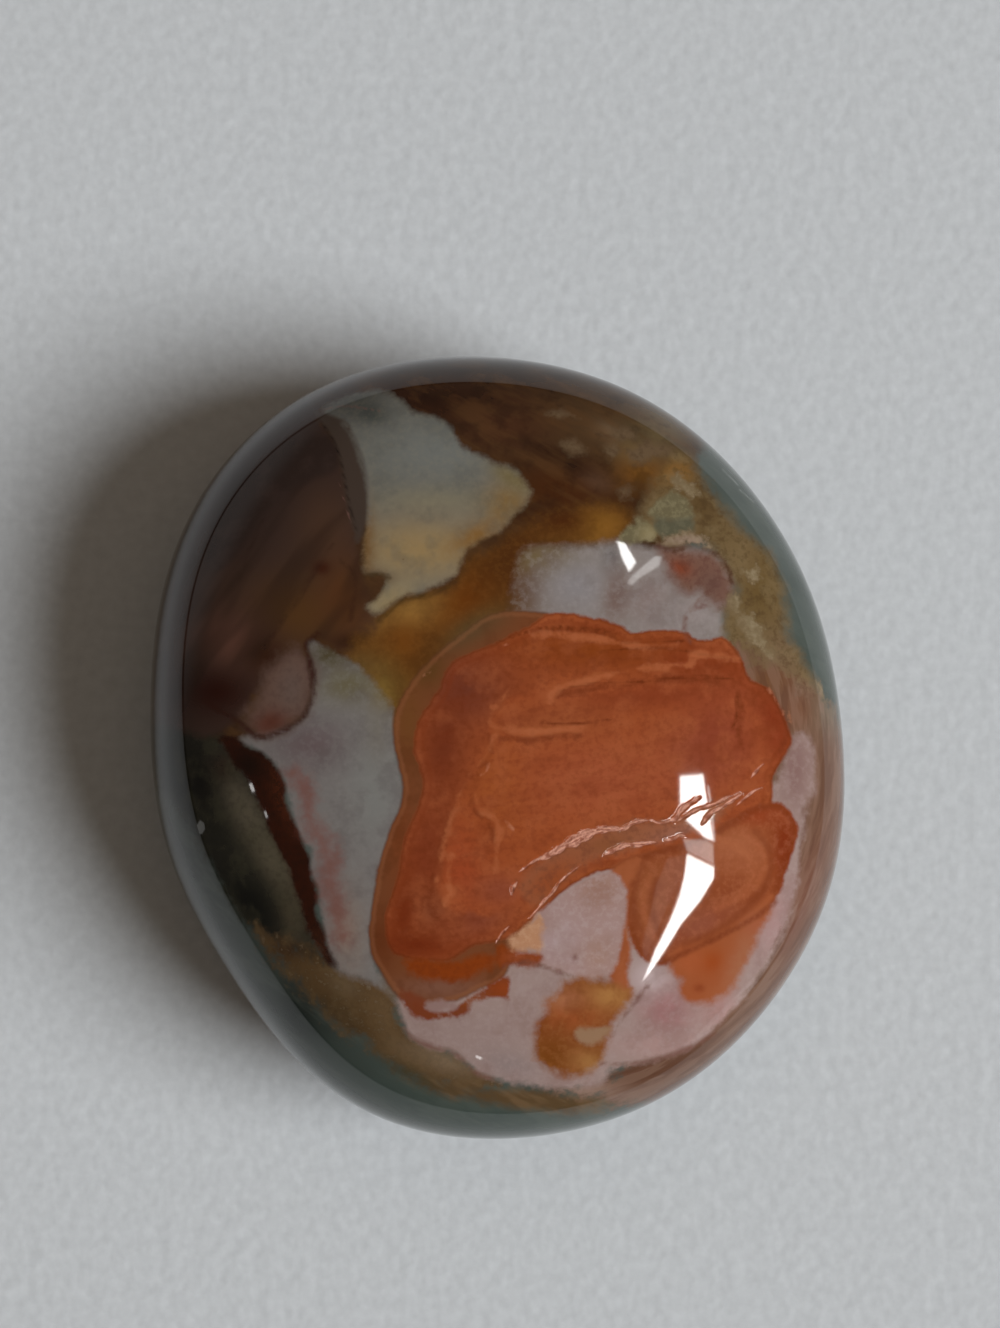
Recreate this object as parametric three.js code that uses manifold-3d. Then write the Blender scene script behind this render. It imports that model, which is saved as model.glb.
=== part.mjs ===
// A polished palm stone of polychrome jasper: one solid pebble, ground by hand to a smooth rounded form
// and lapped to a small flat spot on its underside, on which it rests.
// Millimetres, +Z up. The origin is under the middle of the stone, on the plane it rests on.
import * as THREE from "three";
import { mergeVertices } from "three/addons/utils/BufferGeometryUtils.js";
import Module from "manifold-3d";

// Driving dimensions
const girthRadii = [
  30.9, 31.1, 32.3, 33.8, 34.7, 35.5, 34.7, 32.2, 30.4, 30.3, 31.1, 33.8, 34.6, 34.4, 33.4, 32.2,
]; // every 22.5 degrees from +X
const shoulderSwells = [0.3, 0.28, 0.26, 0.32, 0.26, 0.18, 0.3, 0.32]; // every 45 degrees from +X: how much
// fuller than an ellipse's the section is beside the girth, as a share
const crownSwell = 0.14; // the same near the crown
const undersideSwell = 0.1; // and near the flat spot
const crownEasing = 2; // how soon the fullness beside the girth fades upwards, as a power of the cosine
const undersideEasing = 8; // and downwards
const stoneHeight = 29; // from the flat spot to the crown
const girthHeight = 13.9; // the widest section, above the flat spot
const lappedDepth = 0.4; // what was ground off the underside to make the flat spot
const crownShift = new THREE.Vector2(1.3, 0.4); // the crown's place beside the middle of the girth
const girthRise = new THREE.Vector2(0.03, -0.015); // the girth line's slope towards +X and towards +Y

// Facets
const turns = 84; // around the stone
const climbs = 34; // from the underside to the crown

const jasper = new THREE.MeshStandardMaterial({ color: 0x8a5a44, roughness: 0.12, metalness: 0 });

// A smooth closed curve through values that are evenly spaced round the stone (trigonometric interpolation).
function valueAround(values, angle) {
  const count = values.length;
  let value = 0;
  for (let i = 0; i < count; i++) {
    const away = angle - (2 * Math.PI * i) / count;
    const half = Math.sin(away / 2);
    if (Math.abs(half) < 1e-9) return values[i];
    value += (values[i] * Math.sin((count * away) / 2) * Math.cos(away / 2)) / (count * half);
  }
  return value;
}

// How much fuller than an ellipse's the section is at a turn and climb.
function swellAt(turn, climb) {
  const [poleSwell, easing] = climb > 0 ? [crownSwell, crownEasing] : [undersideSwell, undersideEasing];
  return poleSwell + (valueAround(shoulderSwells, turn) - poleSwell) * Math.cos(climb) ** easing;
}

// A point of the pebble before it is lapped: turn goes round from +X, climb from the lowest point up.
function pebblePoint(turn, climb) {
  const swell = swellAt(turn, climb);
  const spread = Math.cos(climb) * (1 + swell * Math.sin(climb) ** 2);
  const rise = Math.sin(climb) * (1 + swell * Math.cos(climb) ** 2);
  const above = stoneHeight - girthHeight;
  const below = girthHeight + lappedDepth;
  const halfHeight = (above + below) / 2 + ((above - below) / 2) * Math.sin(climb);
  const lean = (rise + rise * rise) / 2;
  const radius = valueAround(girthRadii, turn) * spread;
  const x = radius * Math.cos(turn) + crownShift.x * lean;
  const y = radius * Math.sin(turn) + crownShift.y * lean;
  const slope = (girthRise.x * x + girthRise.y * y) * Math.cos(climb) ** 2;
  return new THREE.Vector3(x, y, girthHeight + halfHeight * rise + slope);
}

// The whole pebble as one closed mesh: rings of points between a lowest point and a crown point.
function pebbleGeometry() {
  const positions = [];
  const faces = [];
  for (let ring = 1; ring < climbs; ring++)
    for (let i = 0; i < turns; i++) {
      const turn = (2 * Math.PI * i) / turns;
      positions.push(...pebblePoint(turn, -Math.PI / 2 + (Math.PI * ring) / climbs).toArray());
    }
  const lowest = positions.length / 3;
  positions.push(...pebblePoint(0, -Math.PI / 2).toArray(), ...pebblePoint(0, Math.PI / 2).toArray());
  const crown = lowest + 1;
  const lastRing = (climbs - 2) * turns;
  for (let i = 0; i < turns; i++) {
    const next = (i + 1) % turns;
    faces.push(lowest, next, i, crown, lastRing + i, lastRing + next);
    for (let ring = 0; ring < lastRing; ring += turns) {
      const [a, b, c, d] = [ring + i, ring + next, ring + turns + next, ring + turns + i];
      faces.push(a, b, c, a, c, d);
    }
  }
  const geometry = new THREE.BufferGeometry();
  geometry.setAttribute("position", new THREE.Float32BufferAttribute(positions, 3));
  geometry.setIndex(faces);
  return geometry;
}

// A three.js geometry as a solid that can be cut.
function solidFrom(wasm, geometry) {
  const bare = geometry.clone();
  bare.deleteAttribute("normal");
  bare.deleteAttribute("uv");
  const merged = mergeVertices(bare, 1e-4);
  return new wasm.Manifold(
    new wasm.Mesh({
      numProp: 3,
      vertProperties: merged.attributes.position.array,
      triVerts: new Uint32Array(merged.index.array),
    }),
  );
}

// A cut solid's surface as a three.js geometry.
function geometryFrom(solid) {
  const mesh = solid.getMesh();
  const geometry = new THREE.BufferGeometry();
  geometry.setAttribute("position", new THREE.Float32BufferAttribute(mesh.vertProperties, 3));
  geometry.setIndex([...mesh.triVerts]);
  return geometry;
}

// The pebble with its underside ground flat at z = 0, centred over the origin.
function lappedStone(wasm) {
  const lap = 4 * stoneHeight;
  const grinder = new THREE.BoxGeometry(lap, lap, lap).translate(0, 0, -lap / 2);
  const geometry = geometryFrom(solidFrom(wasm, pebbleGeometry()).subtract(solidFrom(wasm, grinder)));
  geometry.computeBoundingBox();
  const middle = geometry.boundingBox.getCenter(new THREE.Vector3());
  geometry.translate(-middle.x, -middle.y, 0);
  geometry.computeVertexNormals();
  return geometry;
}

const wasm = await Module();
wasm.setup();

const palmStone = new THREE.Group();
const stone = new THREE.Mesh(lappedStone(wasm), jasper);
stone.name = "stone";
palmStone.add(stone);

export default palmStone;
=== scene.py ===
import math

import bpy
import numpy as np
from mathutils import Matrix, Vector, interpolate, noise
from mathutils.bvhtree import BVHTree


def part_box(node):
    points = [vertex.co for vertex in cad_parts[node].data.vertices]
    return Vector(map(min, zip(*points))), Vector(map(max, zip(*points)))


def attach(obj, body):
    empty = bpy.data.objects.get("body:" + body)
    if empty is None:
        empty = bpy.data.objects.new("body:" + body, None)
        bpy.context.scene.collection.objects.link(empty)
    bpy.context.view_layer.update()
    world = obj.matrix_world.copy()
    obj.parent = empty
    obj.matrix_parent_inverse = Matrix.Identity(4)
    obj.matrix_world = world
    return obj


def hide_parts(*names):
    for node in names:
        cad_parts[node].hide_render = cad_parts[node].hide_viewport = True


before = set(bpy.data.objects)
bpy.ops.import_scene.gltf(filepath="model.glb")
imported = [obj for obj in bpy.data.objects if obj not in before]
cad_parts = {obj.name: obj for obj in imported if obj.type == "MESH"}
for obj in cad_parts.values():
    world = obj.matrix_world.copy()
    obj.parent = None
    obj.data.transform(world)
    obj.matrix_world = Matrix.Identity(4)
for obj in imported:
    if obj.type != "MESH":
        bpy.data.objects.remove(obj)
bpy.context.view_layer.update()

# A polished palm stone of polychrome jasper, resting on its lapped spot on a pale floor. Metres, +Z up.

mm = 0.001

# Camera

photoView = {
    "frameSize": (1000, 1328),  # pixels
    "stoneAt": (494, 745),  # where the middle of the stone falls in the frame
    "distance": 0.250,  # lens to the stone's girth
    "girthHeight": 0.0139,
    "elevation": 87.0,  # degrees above the horizon, seen from the -Y side
    "focalLength": 76.0,
    "sensorLongSide": 36.0,
}


def cameraFrame(view):
    tilt = math.radians(90 - view["elevation"])
    forward = np.array([0.0, math.sin(tilt), -math.cos(tilt)])
    right = np.array([1.0, 0.0, 0.0])
    up = np.cross(right, forward)
    width, height = view["frameSize"]
    focal = view["focalLength"] / view["sensorLongSide"] * height  # in pixels
    pixelSize = view["distance"] / focal  # at the girth
    offsetX = (width / 2 - view["stoneAt"][0]) * pixelSize
    offsetY = (view["stoneAt"][1] - height / 2) * pixelSize
    aim = np.array([0.0, 0.0, view["girthHeight"]]) + right * offsetX + up * offsetY
    return {
        "place": aim - forward * view["distance"],
        "forward": forward,
        "right": right,
        "up": up,
        "focal": focal,
        "tilt": tilt,
        "pixelSize": pixelSize,
    }


lens = cameraFrame(photoView)


def toPixels(points):
    width, height = photoView["frameSize"]
    away = points - lens["place"]
    depth = away @ lens["forward"]
    x = width / 2 + lens["focal"] * (away @ lens["right"]) / depth
    y = height / 2 - lens["focal"] * (away @ lens["up"]) / depth
    return np.stack([x, y], axis=1)


def makeCamera(view):
    data = bpy.data.cameras.new("photoCamera")
    data.lens = view["focalLength"]
    data.sensor_width = view["sensorLongSide"]
    data.clip_start = 0.005
    data.clip_end = 50
    camera = bpy.data.objects.new("photoCamera", data)
    camera.location = lens["place"]
    camera.rotation_euler = (lens["tilt"], 0, 0)
    bpy.context.scene.collection.objects.link(camera)
    bpy.context.scene.camera = camera


makeCamera(photoView)
print("camera placed")

# The stone's form

stoneForm = {
    "girthRadii": (30.9, 31.1, 32.3, 33.8, 34.7, 35.5, 34.7, 32.2,
                   30.4, 30.3, 31.1, 33.8, 34.6, 34.4, 33.4, 32.2),
    "shoulderSwells": (0.3, 0.28, 0.26, 0.32, 0.26, 0.18, 0.3, 0.32),  # both go round evenly from +X
    "crownSwell": 0.14,
    "undersideSwell": 0.1,
    "crownEasing": 2,
    "undersideEasing": 8,
    "height": 29.0,  # mm, flat spot to crown
    "girthHeight": 13.9,
    "lappedDepth": 0.4,
    "crownShift": (1.3, 0.4),
    "girthRise": (0.03, -0.015),
    "topSpacing": 0.30,  # mm between mesh points on the top
    "underSpacing": 0.75,  # and underneath
    "topEnds": -24.0,  # degrees of climb where the underside's spacing starts
    "underLength": 27.0,  # mm from there to the flat spot, along the surface
    "underCounts": (0.65, 0.25),  # points in a ring underneath, as shares of the girth's: first and last
    "meridianSteps": 2000,  # for measuring along the surface
    "halvings": 40,  # for finding the lapped plane
    "flatSpacing": 1.125,  # mm between the rings on the flat spot
}


def valueAround(values, turn):
    count = len(values)
    total = np.zeros_like(turn)
    for i, value in enumerate(values):
        away = turn - 2 * math.pi * i / count
        half = np.sin(away / 2)
        near = np.abs(half) < 1e-9
        half = np.where(near, 1.0, half)
        weight = np.sin(count * away / 2) * np.cos(away / 2) / (count * half)
        total += value * np.where(near, 1.0, weight)
    return total


def pebblePoints(turn, climb, form):
    sine, cosine = np.sin(climb), np.cos(climb)
    poleSwell = np.where(climb > 0, form["crownSwell"], form["undersideSwell"])
    easing = np.where(climb > 0, form["crownEasing"], form["undersideEasing"])
    shoulder = valueAround(form["shoulderSwells"], turn)
    swell = poleSwell + (shoulder - poleSwell) * np.abs(cosine) ** easing
    spread = cosine * (1 + swell * sine**2)
    rise = sine * (1 + swell * cosine**2)
    above = form["height"] - form["girthHeight"]
    below = form["girthHeight"] + form["lappedDepth"]
    halfHeight = (above + below) / 2 + (above - below) / 2 * sine
    lean = (rise + rise * rise) / 2
    radius = valueAround(form["girthRadii"], turn) * spread
    x = radius * np.cos(turn) + form["crownShift"][0] * lean
    y = radius * np.sin(turn) + form["crownShift"][1] * lean
    slope = (form["girthRise"][0] * x + form["girthRise"][1] * y) * cosine**2
    return np.stack([x, y, form["girthHeight"] + halfHeight * rise + slope], axis=-1)


def lapClimb(turn, form):
    # The climb at which the surface meets the lapped plane, by halving.
    low = np.full_like(turn, -math.pi / 2)
    high = np.full_like(turn, -math.pi / 4)
    for _ in range(form["halvings"]):
        middle = (low + high) / 2
        over = pebblePoints(turn, middle, form)[:, 2] > 0
        high = np.where(over, middle, high)
        low = np.where(over, low, middle)
    return high


def evenTurns(count):
    return 2 * math.pi * np.arange(count) / count


def stoneRings(form):
    # Turns and climbs of rings of points, from the crown down to the flat spot's edge.
    spacing = form["topSpacing"]
    climbs = np.linspace(math.pi / 2, math.radians(form["topEnds"]), form["meridianSteps"])
    side = pebblePoints(np.zeros_like(climbs), climbs, form)  # along the meridian towards +X
    travelled = np.concatenate([[0], np.cumsum(np.linalg.norm(np.diff(side, axis=0), axis=1))])
    rings = []
    for at in np.arange(spacing, travelled[-1], spacing):
        climb = float(np.interp(at, travelled, climbs))
        radius = float(np.interp(at, travelled, side[:, 0] - side[0, 0])) + spacing / 2
        turn = evenTurns(max(6, round(2 * math.pi * radius / spacing)))
        rings.append((turn, np.full_like(turn, climb)))
    aroundGirth = len(turn)
    underRings = int(form["underLength"] / form["underSpacing"])
    firstShare, lastShare = form["underCounts"]
    for step in range(1, underRings + 1):
        share = step / underRings
        turn = evenTurns(round(aroundGirth * (firstShare - (firstShare - lastShare) * share)))
        rings.append((turn, climb + (lapClimb(turn, form) - climb) * share))
    return rings


def zipRings(lower, lowerCount, upper, upperCount):
    # Triangles between two rings of evenly turned points, the upper one nearer the crown.
    faces = []
    i = j = 0
    while i < lowerCount or j < upperCount:
        takeLower = j >= upperCount or (i < lowerCount and (i + 1) * upperCount <= (j + 1) * lowerCount)
        here = lower + i % lowerCount
        there = upper + j % upperCount
        if takeLower:
            i += 1
            faces.append((here, lower + i % lowerCount, there))
        else:
            j += 1
            faces.append((here, upper + j % upperCount, there))
    return faces


def joinRings(sizes, flatSizes):
    # Triangles over all the rings, from the crown's point to the flat spot's middle point.
    curved = sum(sizes)
    starts = np.concatenate([[0], np.cumsum(sizes)]).tolist()[:-1]
    starts += (curved + 1 + np.concatenate([[0], np.cumsum(flatSizes)])).tolist()[:-1]
    counts = sizes + flatSizes
    crown, flatMiddle = curved, curved + 1 + sum(flatSizes)
    faces = [(i, (i + 1) % sizes[0], crown) for i in range(sizes[0])]
    for upper in range(len(counts) - 1):
        faces += zipRings(starts[upper + 1], counts[upper + 1], starts[upper], counts[upper])
    last, count = starts[-1], counts[-1]
    faces += [(last + (i + 1) % count, last + i, flatMiddle) for i in range(count)]
    return faces


def flatSpot(edge, form):
    # Rings over the flat spot and its middle point.
    middle = edge.mean(axis=0)
    count = int(np.linalg.norm(edge[0] - middle) / form["flatSpacing"])
    rings = [middle + (edge - middle) * (1 - step / count) for step in range(1, count)]
    return rings, middle


def splitFaces(faces, chosen, turns, climbs):
    # Splits the chosen triangles in four and their neighbours to match. New points go last in the lists.
    middles = {}

    def edgesOf(face):
        a, b, c = face
        return (min(a, b), max(a, b)), (min(b, c), max(b, c)), (min(c, a), max(c, a))

    def splitEdges(face):
        for a, b in edgesOf(face):
            if (a, b) not in middles:
                middles[a, b] = len(turns)
                gap = (turns[b] - turns[a] + math.pi) % (2 * math.pi) - math.pi
                turns.append(turns[a] + gap / 2)
                climbs.append((climbs[a] + climbs[b]) / 2)

    chosen = set(chosen)
    for index in chosen:
        splitEdges(faces[index])
    added = True
    while added:
        added = False
        for index, face in enumerate(faces):
            if index not in chosen and sum(edge in middles for edge in edgesOf(face)) > 1:
                splitEdges(face)
                chosen.add(index)
                added = True
    result = []
    for index, face in enumerate(faces):
        a, b, c = face
        if index in chosen:
            ab, bc, ca = (middles[edge] for edge in edgesOf(face))
            result += [(a, ab, ca), (ab, b, bc), (ca, bc, c), (ab, bc, ca)]
            continue
        split = [edge in middles for edge in edgesOf(face)]
        if not any(split):
            result.append(face)
            continue
        while not split[0]:  # turn the triangle so that its split edge comes first
            a, b, c = b, c, a
            split = split[1:] + split[:1]
        middle = middles[min(a, b), max(a, b)]
        result += [(a, middle, c), (middle, b, c)]
    return result


def smoothPath(corners, closed, steps=4):
    # A Catmull-Rom curve through the corners.
    corners = np.array(corners, dtype=float)
    count = len(corners)
    shares = np.arange(steps)[:, None] / steps
    curve = []
    for i in range(count if closed else count - 1):
        places = [i - 1, i, i + 1, i + 2]
        if closed:
            before, start, end, after = (corners[place % count] for place in places)
        else:
            before, start, end, after = (corners[min(max(place, 0), count - 1)] for place in places)
        gap = end - start
        leaving, arriving = (end - before) / 2, (after - start) / 2
        bend = (3 * gap - 2 * leaving - arriving) * shares**2 + (leaving + arriving - 2 * gap) * shares**3
        curve.append(start + leaving * shares + bend)
    curve.append(corners[:1] if closed else corners[-1:])
    return np.concatenate(curve)


def nearPath(places, path, margin=36):
    # Which places are in a box round the path, with a margin in pixels.
    low, high = path.min(axis=0) - margin, path.max(axis=0) + margin
    return np.flatnonzero(((places > low) & (places < high)).all(axis=1))


def distanceTo(places, path):
    nearest = np.full(len(places), np.inf)
    for start, end in zip(path[:-1], path[1:]):
        along = end - start
        share = np.clip(((places - start) @ along) / max(along @ along, 1e-9), 0, 1)
        offset = places - start - share[:, None] * along
        nearest = np.minimum(nearest, (offset * offset).sum(axis=1))
    return np.sqrt(nearest)


def isInside(places, loop):
    inside = np.zeros(len(places), dtype=bool)
    for start, end in zip(loop[:-1], loop[1:]):
        if start[1] == end[1]:
            continue
        crosses = (start[1] > places[:, 1]) != (end[1] > places[:, 1])
        reach = start[0] + (places[:, 1] - start[1]) / (end[1] - start[1]) * (end[0] - start[0])
        inside ^= crosses & (places[:, 0] < reach)
    return inside


# Chipped cracks in the polished face: paths in photo pixels, the rest in mm

cracks = {
    "paths": (  # each with its half width at the middle
        (0.2, ((519, 872), (534, 861), (548, 854), (565, 844), (582, 835), (606, 829), (623, 829),
               (634, 823), (650, 820), (660, 823), (674, 820))),
        (0.5, ((540, 860), (554, 852), (570, 843), (588, 834), (606, 829), (620, 829))),
        (0.26, ((668, 821), (676, 818), (681, 810), (690, 803), (700, 797))),
        (0.14, ((676, 822), (687, 815), (698, 809), (712, 805), (726, 798), (740, 792))),
        (0.2, ((702, 824), (711, 813), (725, 805), (742, 794))),
        (0.12, ((736, 806), (745, 798), (754, 791), (761, 788))),
        (0.3, ((604, 855), (614, 850), (626, 845), (640, 844), (656, 842))),
        (0.16, ((664, 840), (674, 839), (680, 835), (686, 836))),
        (0.13, ((581, 865), (570, 873), (562, 880), (552, 893), (545, 900), (537, 910), (529, 919))),
        (0.12, ((509, 926), (502, 933), (496, 943))),
        (0.13, ((517, 882), (513, 888), (512, 895))),
        (0.1, ((751, 778), (757, 770), (763, 764))),
    ),
    "splitWithin": 0.5,  # beside a crack's edge, where the mesh is made finer
    "splits": 2,
    "widthMiddle": 0.85,  # share of the half width that a crack has on average
    "widthChange": 0.35,  # how much the width comes and goes along a crack, as a share
    "widthWaves": (3.1, 1.3),  # radians per mm
    "leastUpright": 0.2,  # of the normal, so that the paths don't mark the underside too
    "depth": 0.06,
    "roughness": 0.13,  # height of the splintery ridges
    "fibreLength": 0.6,
    "fibreWidth": 0.15,
    "ridgeShares": (0.65, 0.45),  # of the coarse and the finer ridges
    "finerBy": 2.1,
    "rimWidth": 0.08,
}


farOutside = -3.0  # mm, for a place that is beyond the reach of an outline or path
pixelMm = lens["pixelSize"] / mm


def followCracks(places):
    # How far inside the nearest crack's edge each place is, how far along it, and how far off its middle.
    inside = np.full(len(places), farOutside)
    along, across = np.zeros(len(places)), np.zeros(len(places))
    quickWave, slowWave = cracks["widthWaves"]
    for halfWidthThere, corners in cracks["paths"]:
        path = smoothPath(corners, False)
        near = nearPath(places, path)
        lengths = np.hypot(*(path[1:] - path[:-1]).T)
        whole = lengths.sum() * pixelMm
        travelled = 0.0
        for start, end in zip(path[:-1], path[1:]):
            step = end - start
            length = max(np.hypot(*step), 1e-6)
            share = np.clip(((places[near] - start) @ step) / length**2, 0, 1)
            offset = places[near] - start - share[:, None] * step
            gap = np.hypot(offset[:, 0], offset[:, 1]) * pixelMm
            reach = (travelled + share * length) * pixelMm
            taper = np.sqrt(np.sin(np.pi * np.clip(reach / whole, 0.01, 0.99)))
            wave = np.sin(reach * quickWave) * np.sin(reach * slowWave + 1)
            halfWidth = halfWidthThere * taper * (cracks["widthMiddle"] + cracks["widthChange"] * wave)
            better = halfWidth - gap > inside[near]
            chosen = near[better]
            side = np.sign(offset[:, 0] * step[1] - offset[:, 1] * step[0])
            inside[chosen] = (halfWidth - gap)[better]
            along[chosen] = reach[better]
            across[chosen] = (gap * side)[better]
            travelled += length
    return inside, along, across


def chip(points, normals, inside, along, across):
    # Sinks the cracks into the surface, with splintery ridges along them. Returns the ridges' heights.
    ridges = np.zeros(len(points))
    coarse, fine = cracks["ridgeShares"]
    elsewhere = Vector((7, 3, 1))  # so that the finer ridges don't repeat the coarse ones
    for index in np.flatnonzero(inside > -cracks["rimWidth"]):
        fibre = Vector((along[index] / cracks["fibreLength"], across[index] / cracks["fibreWidth"], 0.0))
        ridge = coarse * noise.noise(fibre) + fine * noise.noise(fibre * cracks["finerBy"] + elsewhere)
        share = min(1.0, (inside[index] + cracks["rimWidth"]) / (2 * cracks["rimWidth"]))
        sunk = cracks["depth"] - cracks["roughness"] * ridge
        points[index] -= normals[index] * max(0.0, share * sunk) * mm
        ridges[index] = ridge
    return ridges


rings = stoneRings(stoneForm)
turns = np.concatenate([turn for turn, climb in rings] + [[0.0]])
climbs = np.concatenate([climb for turn, climb in rings] + [[math.pi / 2]])
curvedPoints = pebblePoints(turns, climbs, stoneForm)
edge = curvedPoints[-1 - len(rings[-1][0]):-1]
flatRings, flatMiddle = flatSpot(edge * (1, 1, 0), stoneForm)
faces = joinRings([len(turn) for turn, climb in rings], [len(ring) for ring in flatRings])
points = np.concatenate([curvedPoints, *flatRings, flatMiddle[None]])

low, high = np.array(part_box("stone"))
pebbleLow, pebbleHigh = points.min(axis=0), points.max(axis=0)


def fitToBox(points):
    return low + (points - pebbleLow) / (pebbleHigh - pebbleLow) * (high - low)


firstCount = len(points)
turns = np.concatenate([turns, np.zeros(firstCount - len(turns))]).tolist()
climbs = np.concatenate([climbs, np.full(firstCount - len(climbs), -math.pi / 2)]).tolist()
for split in range(cracks["splits"]):
    inside, along, across = followCracks(toPixels(fitToBox(points)))
    upper = np.array(climbs) > 0
    near = upper & (inside > -cracks["splitWithin"] / (split + 1))
    chosen = np.flatnonzero(near[np.array(faces)].any(axis=1)).tolist()
    faces = splitFaces(faces, chosen, turns, climbs)
    newPoints = pebblePoints(np.array(turns[len(points):]), np.array(climbs[len(points):]), stoneForm)
    points = np.concatenate([points, newPoints])
points = fitToBox(points)

stoneData = bpy.data.meshes.new("polishedJasper")
stoneData.from_pydata(points.tolist(), [], faces)
stoneData.update()
normals = np.zeros(len(points) * 3)
stoneData.vertices.foreach_get("normal", normals)
normals = normals.reshape(-1, 3)
polishedPoints = points.copy()
inCrack, along, across = followCracks(toPixels(points))
inCrack[normals[:, 2] < cracks["leastUpright"]] = farOutside
ridges = chip(points, normals, inCrack, along, across)
stoneData.vertices.foreach_set("co", points.ravel())
stoneData.polygons.foreach_set("use_smooth", [True] * len(faces))
stoneData.update()
stone = bpy.data.objects.new("polishedJasper", stoneData)
bpy.context.scene.collection.objects.link(stone)
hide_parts("stone")
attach(stone, "root")
print(f"stone: {len(points)} points, {len(faces)} triangles")

# Markings. Outlines, paths and places are photo pixels. Those beyond the stone's outline lie on its sides.
# Colours are sRGB, 0 to 255. Edges, wobbles, bands and widths are in mm. Later markings cover earlier ones.

mottleRanges = {  # where each noise starts to colour the stone and where it colours it fully
    "cloud": (0.44, 0.66),
    "fine": (0.42, 0.68),
    "streak": (0.44, 0.64),
    "strata": (0.44, 0.62),
    "slant": (0.46, 0.64),
}


def spot(at, size, colour, turn=0):
    return {"at": at, "size": size, "turn": turn, "colour": colour}


def mottled(noise, colour, amount, *limits):
    start, end = limits or mottleRanges[noise]
    return {"noise": noise, "from": start, "to": end, "colour": colour, "amount": amount}


def band(at, width, colour, amount):  # runs inside a zone, along its edge
    return {"at": at, "width": width, "colour": colour, "amount": amount}


def zone(name, colour, edge, wobble, outlines, spots=(), mottles=(), bands=(), sharp=False):
    return {"name": name, "colour": colour, "edge": edge, "wobble": wobble, "outlines": outlines,
            "spots": spots, "mottles": mottles, "bands": bands, "sharp": sharp}


def line(name, colour, amount, width, edge, wobble, paths):
    return {"name": name, "colour": colour, "amount": amount, "width": width,
            "edge": edge, "wobble": wobble, "paths": paths}


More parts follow.
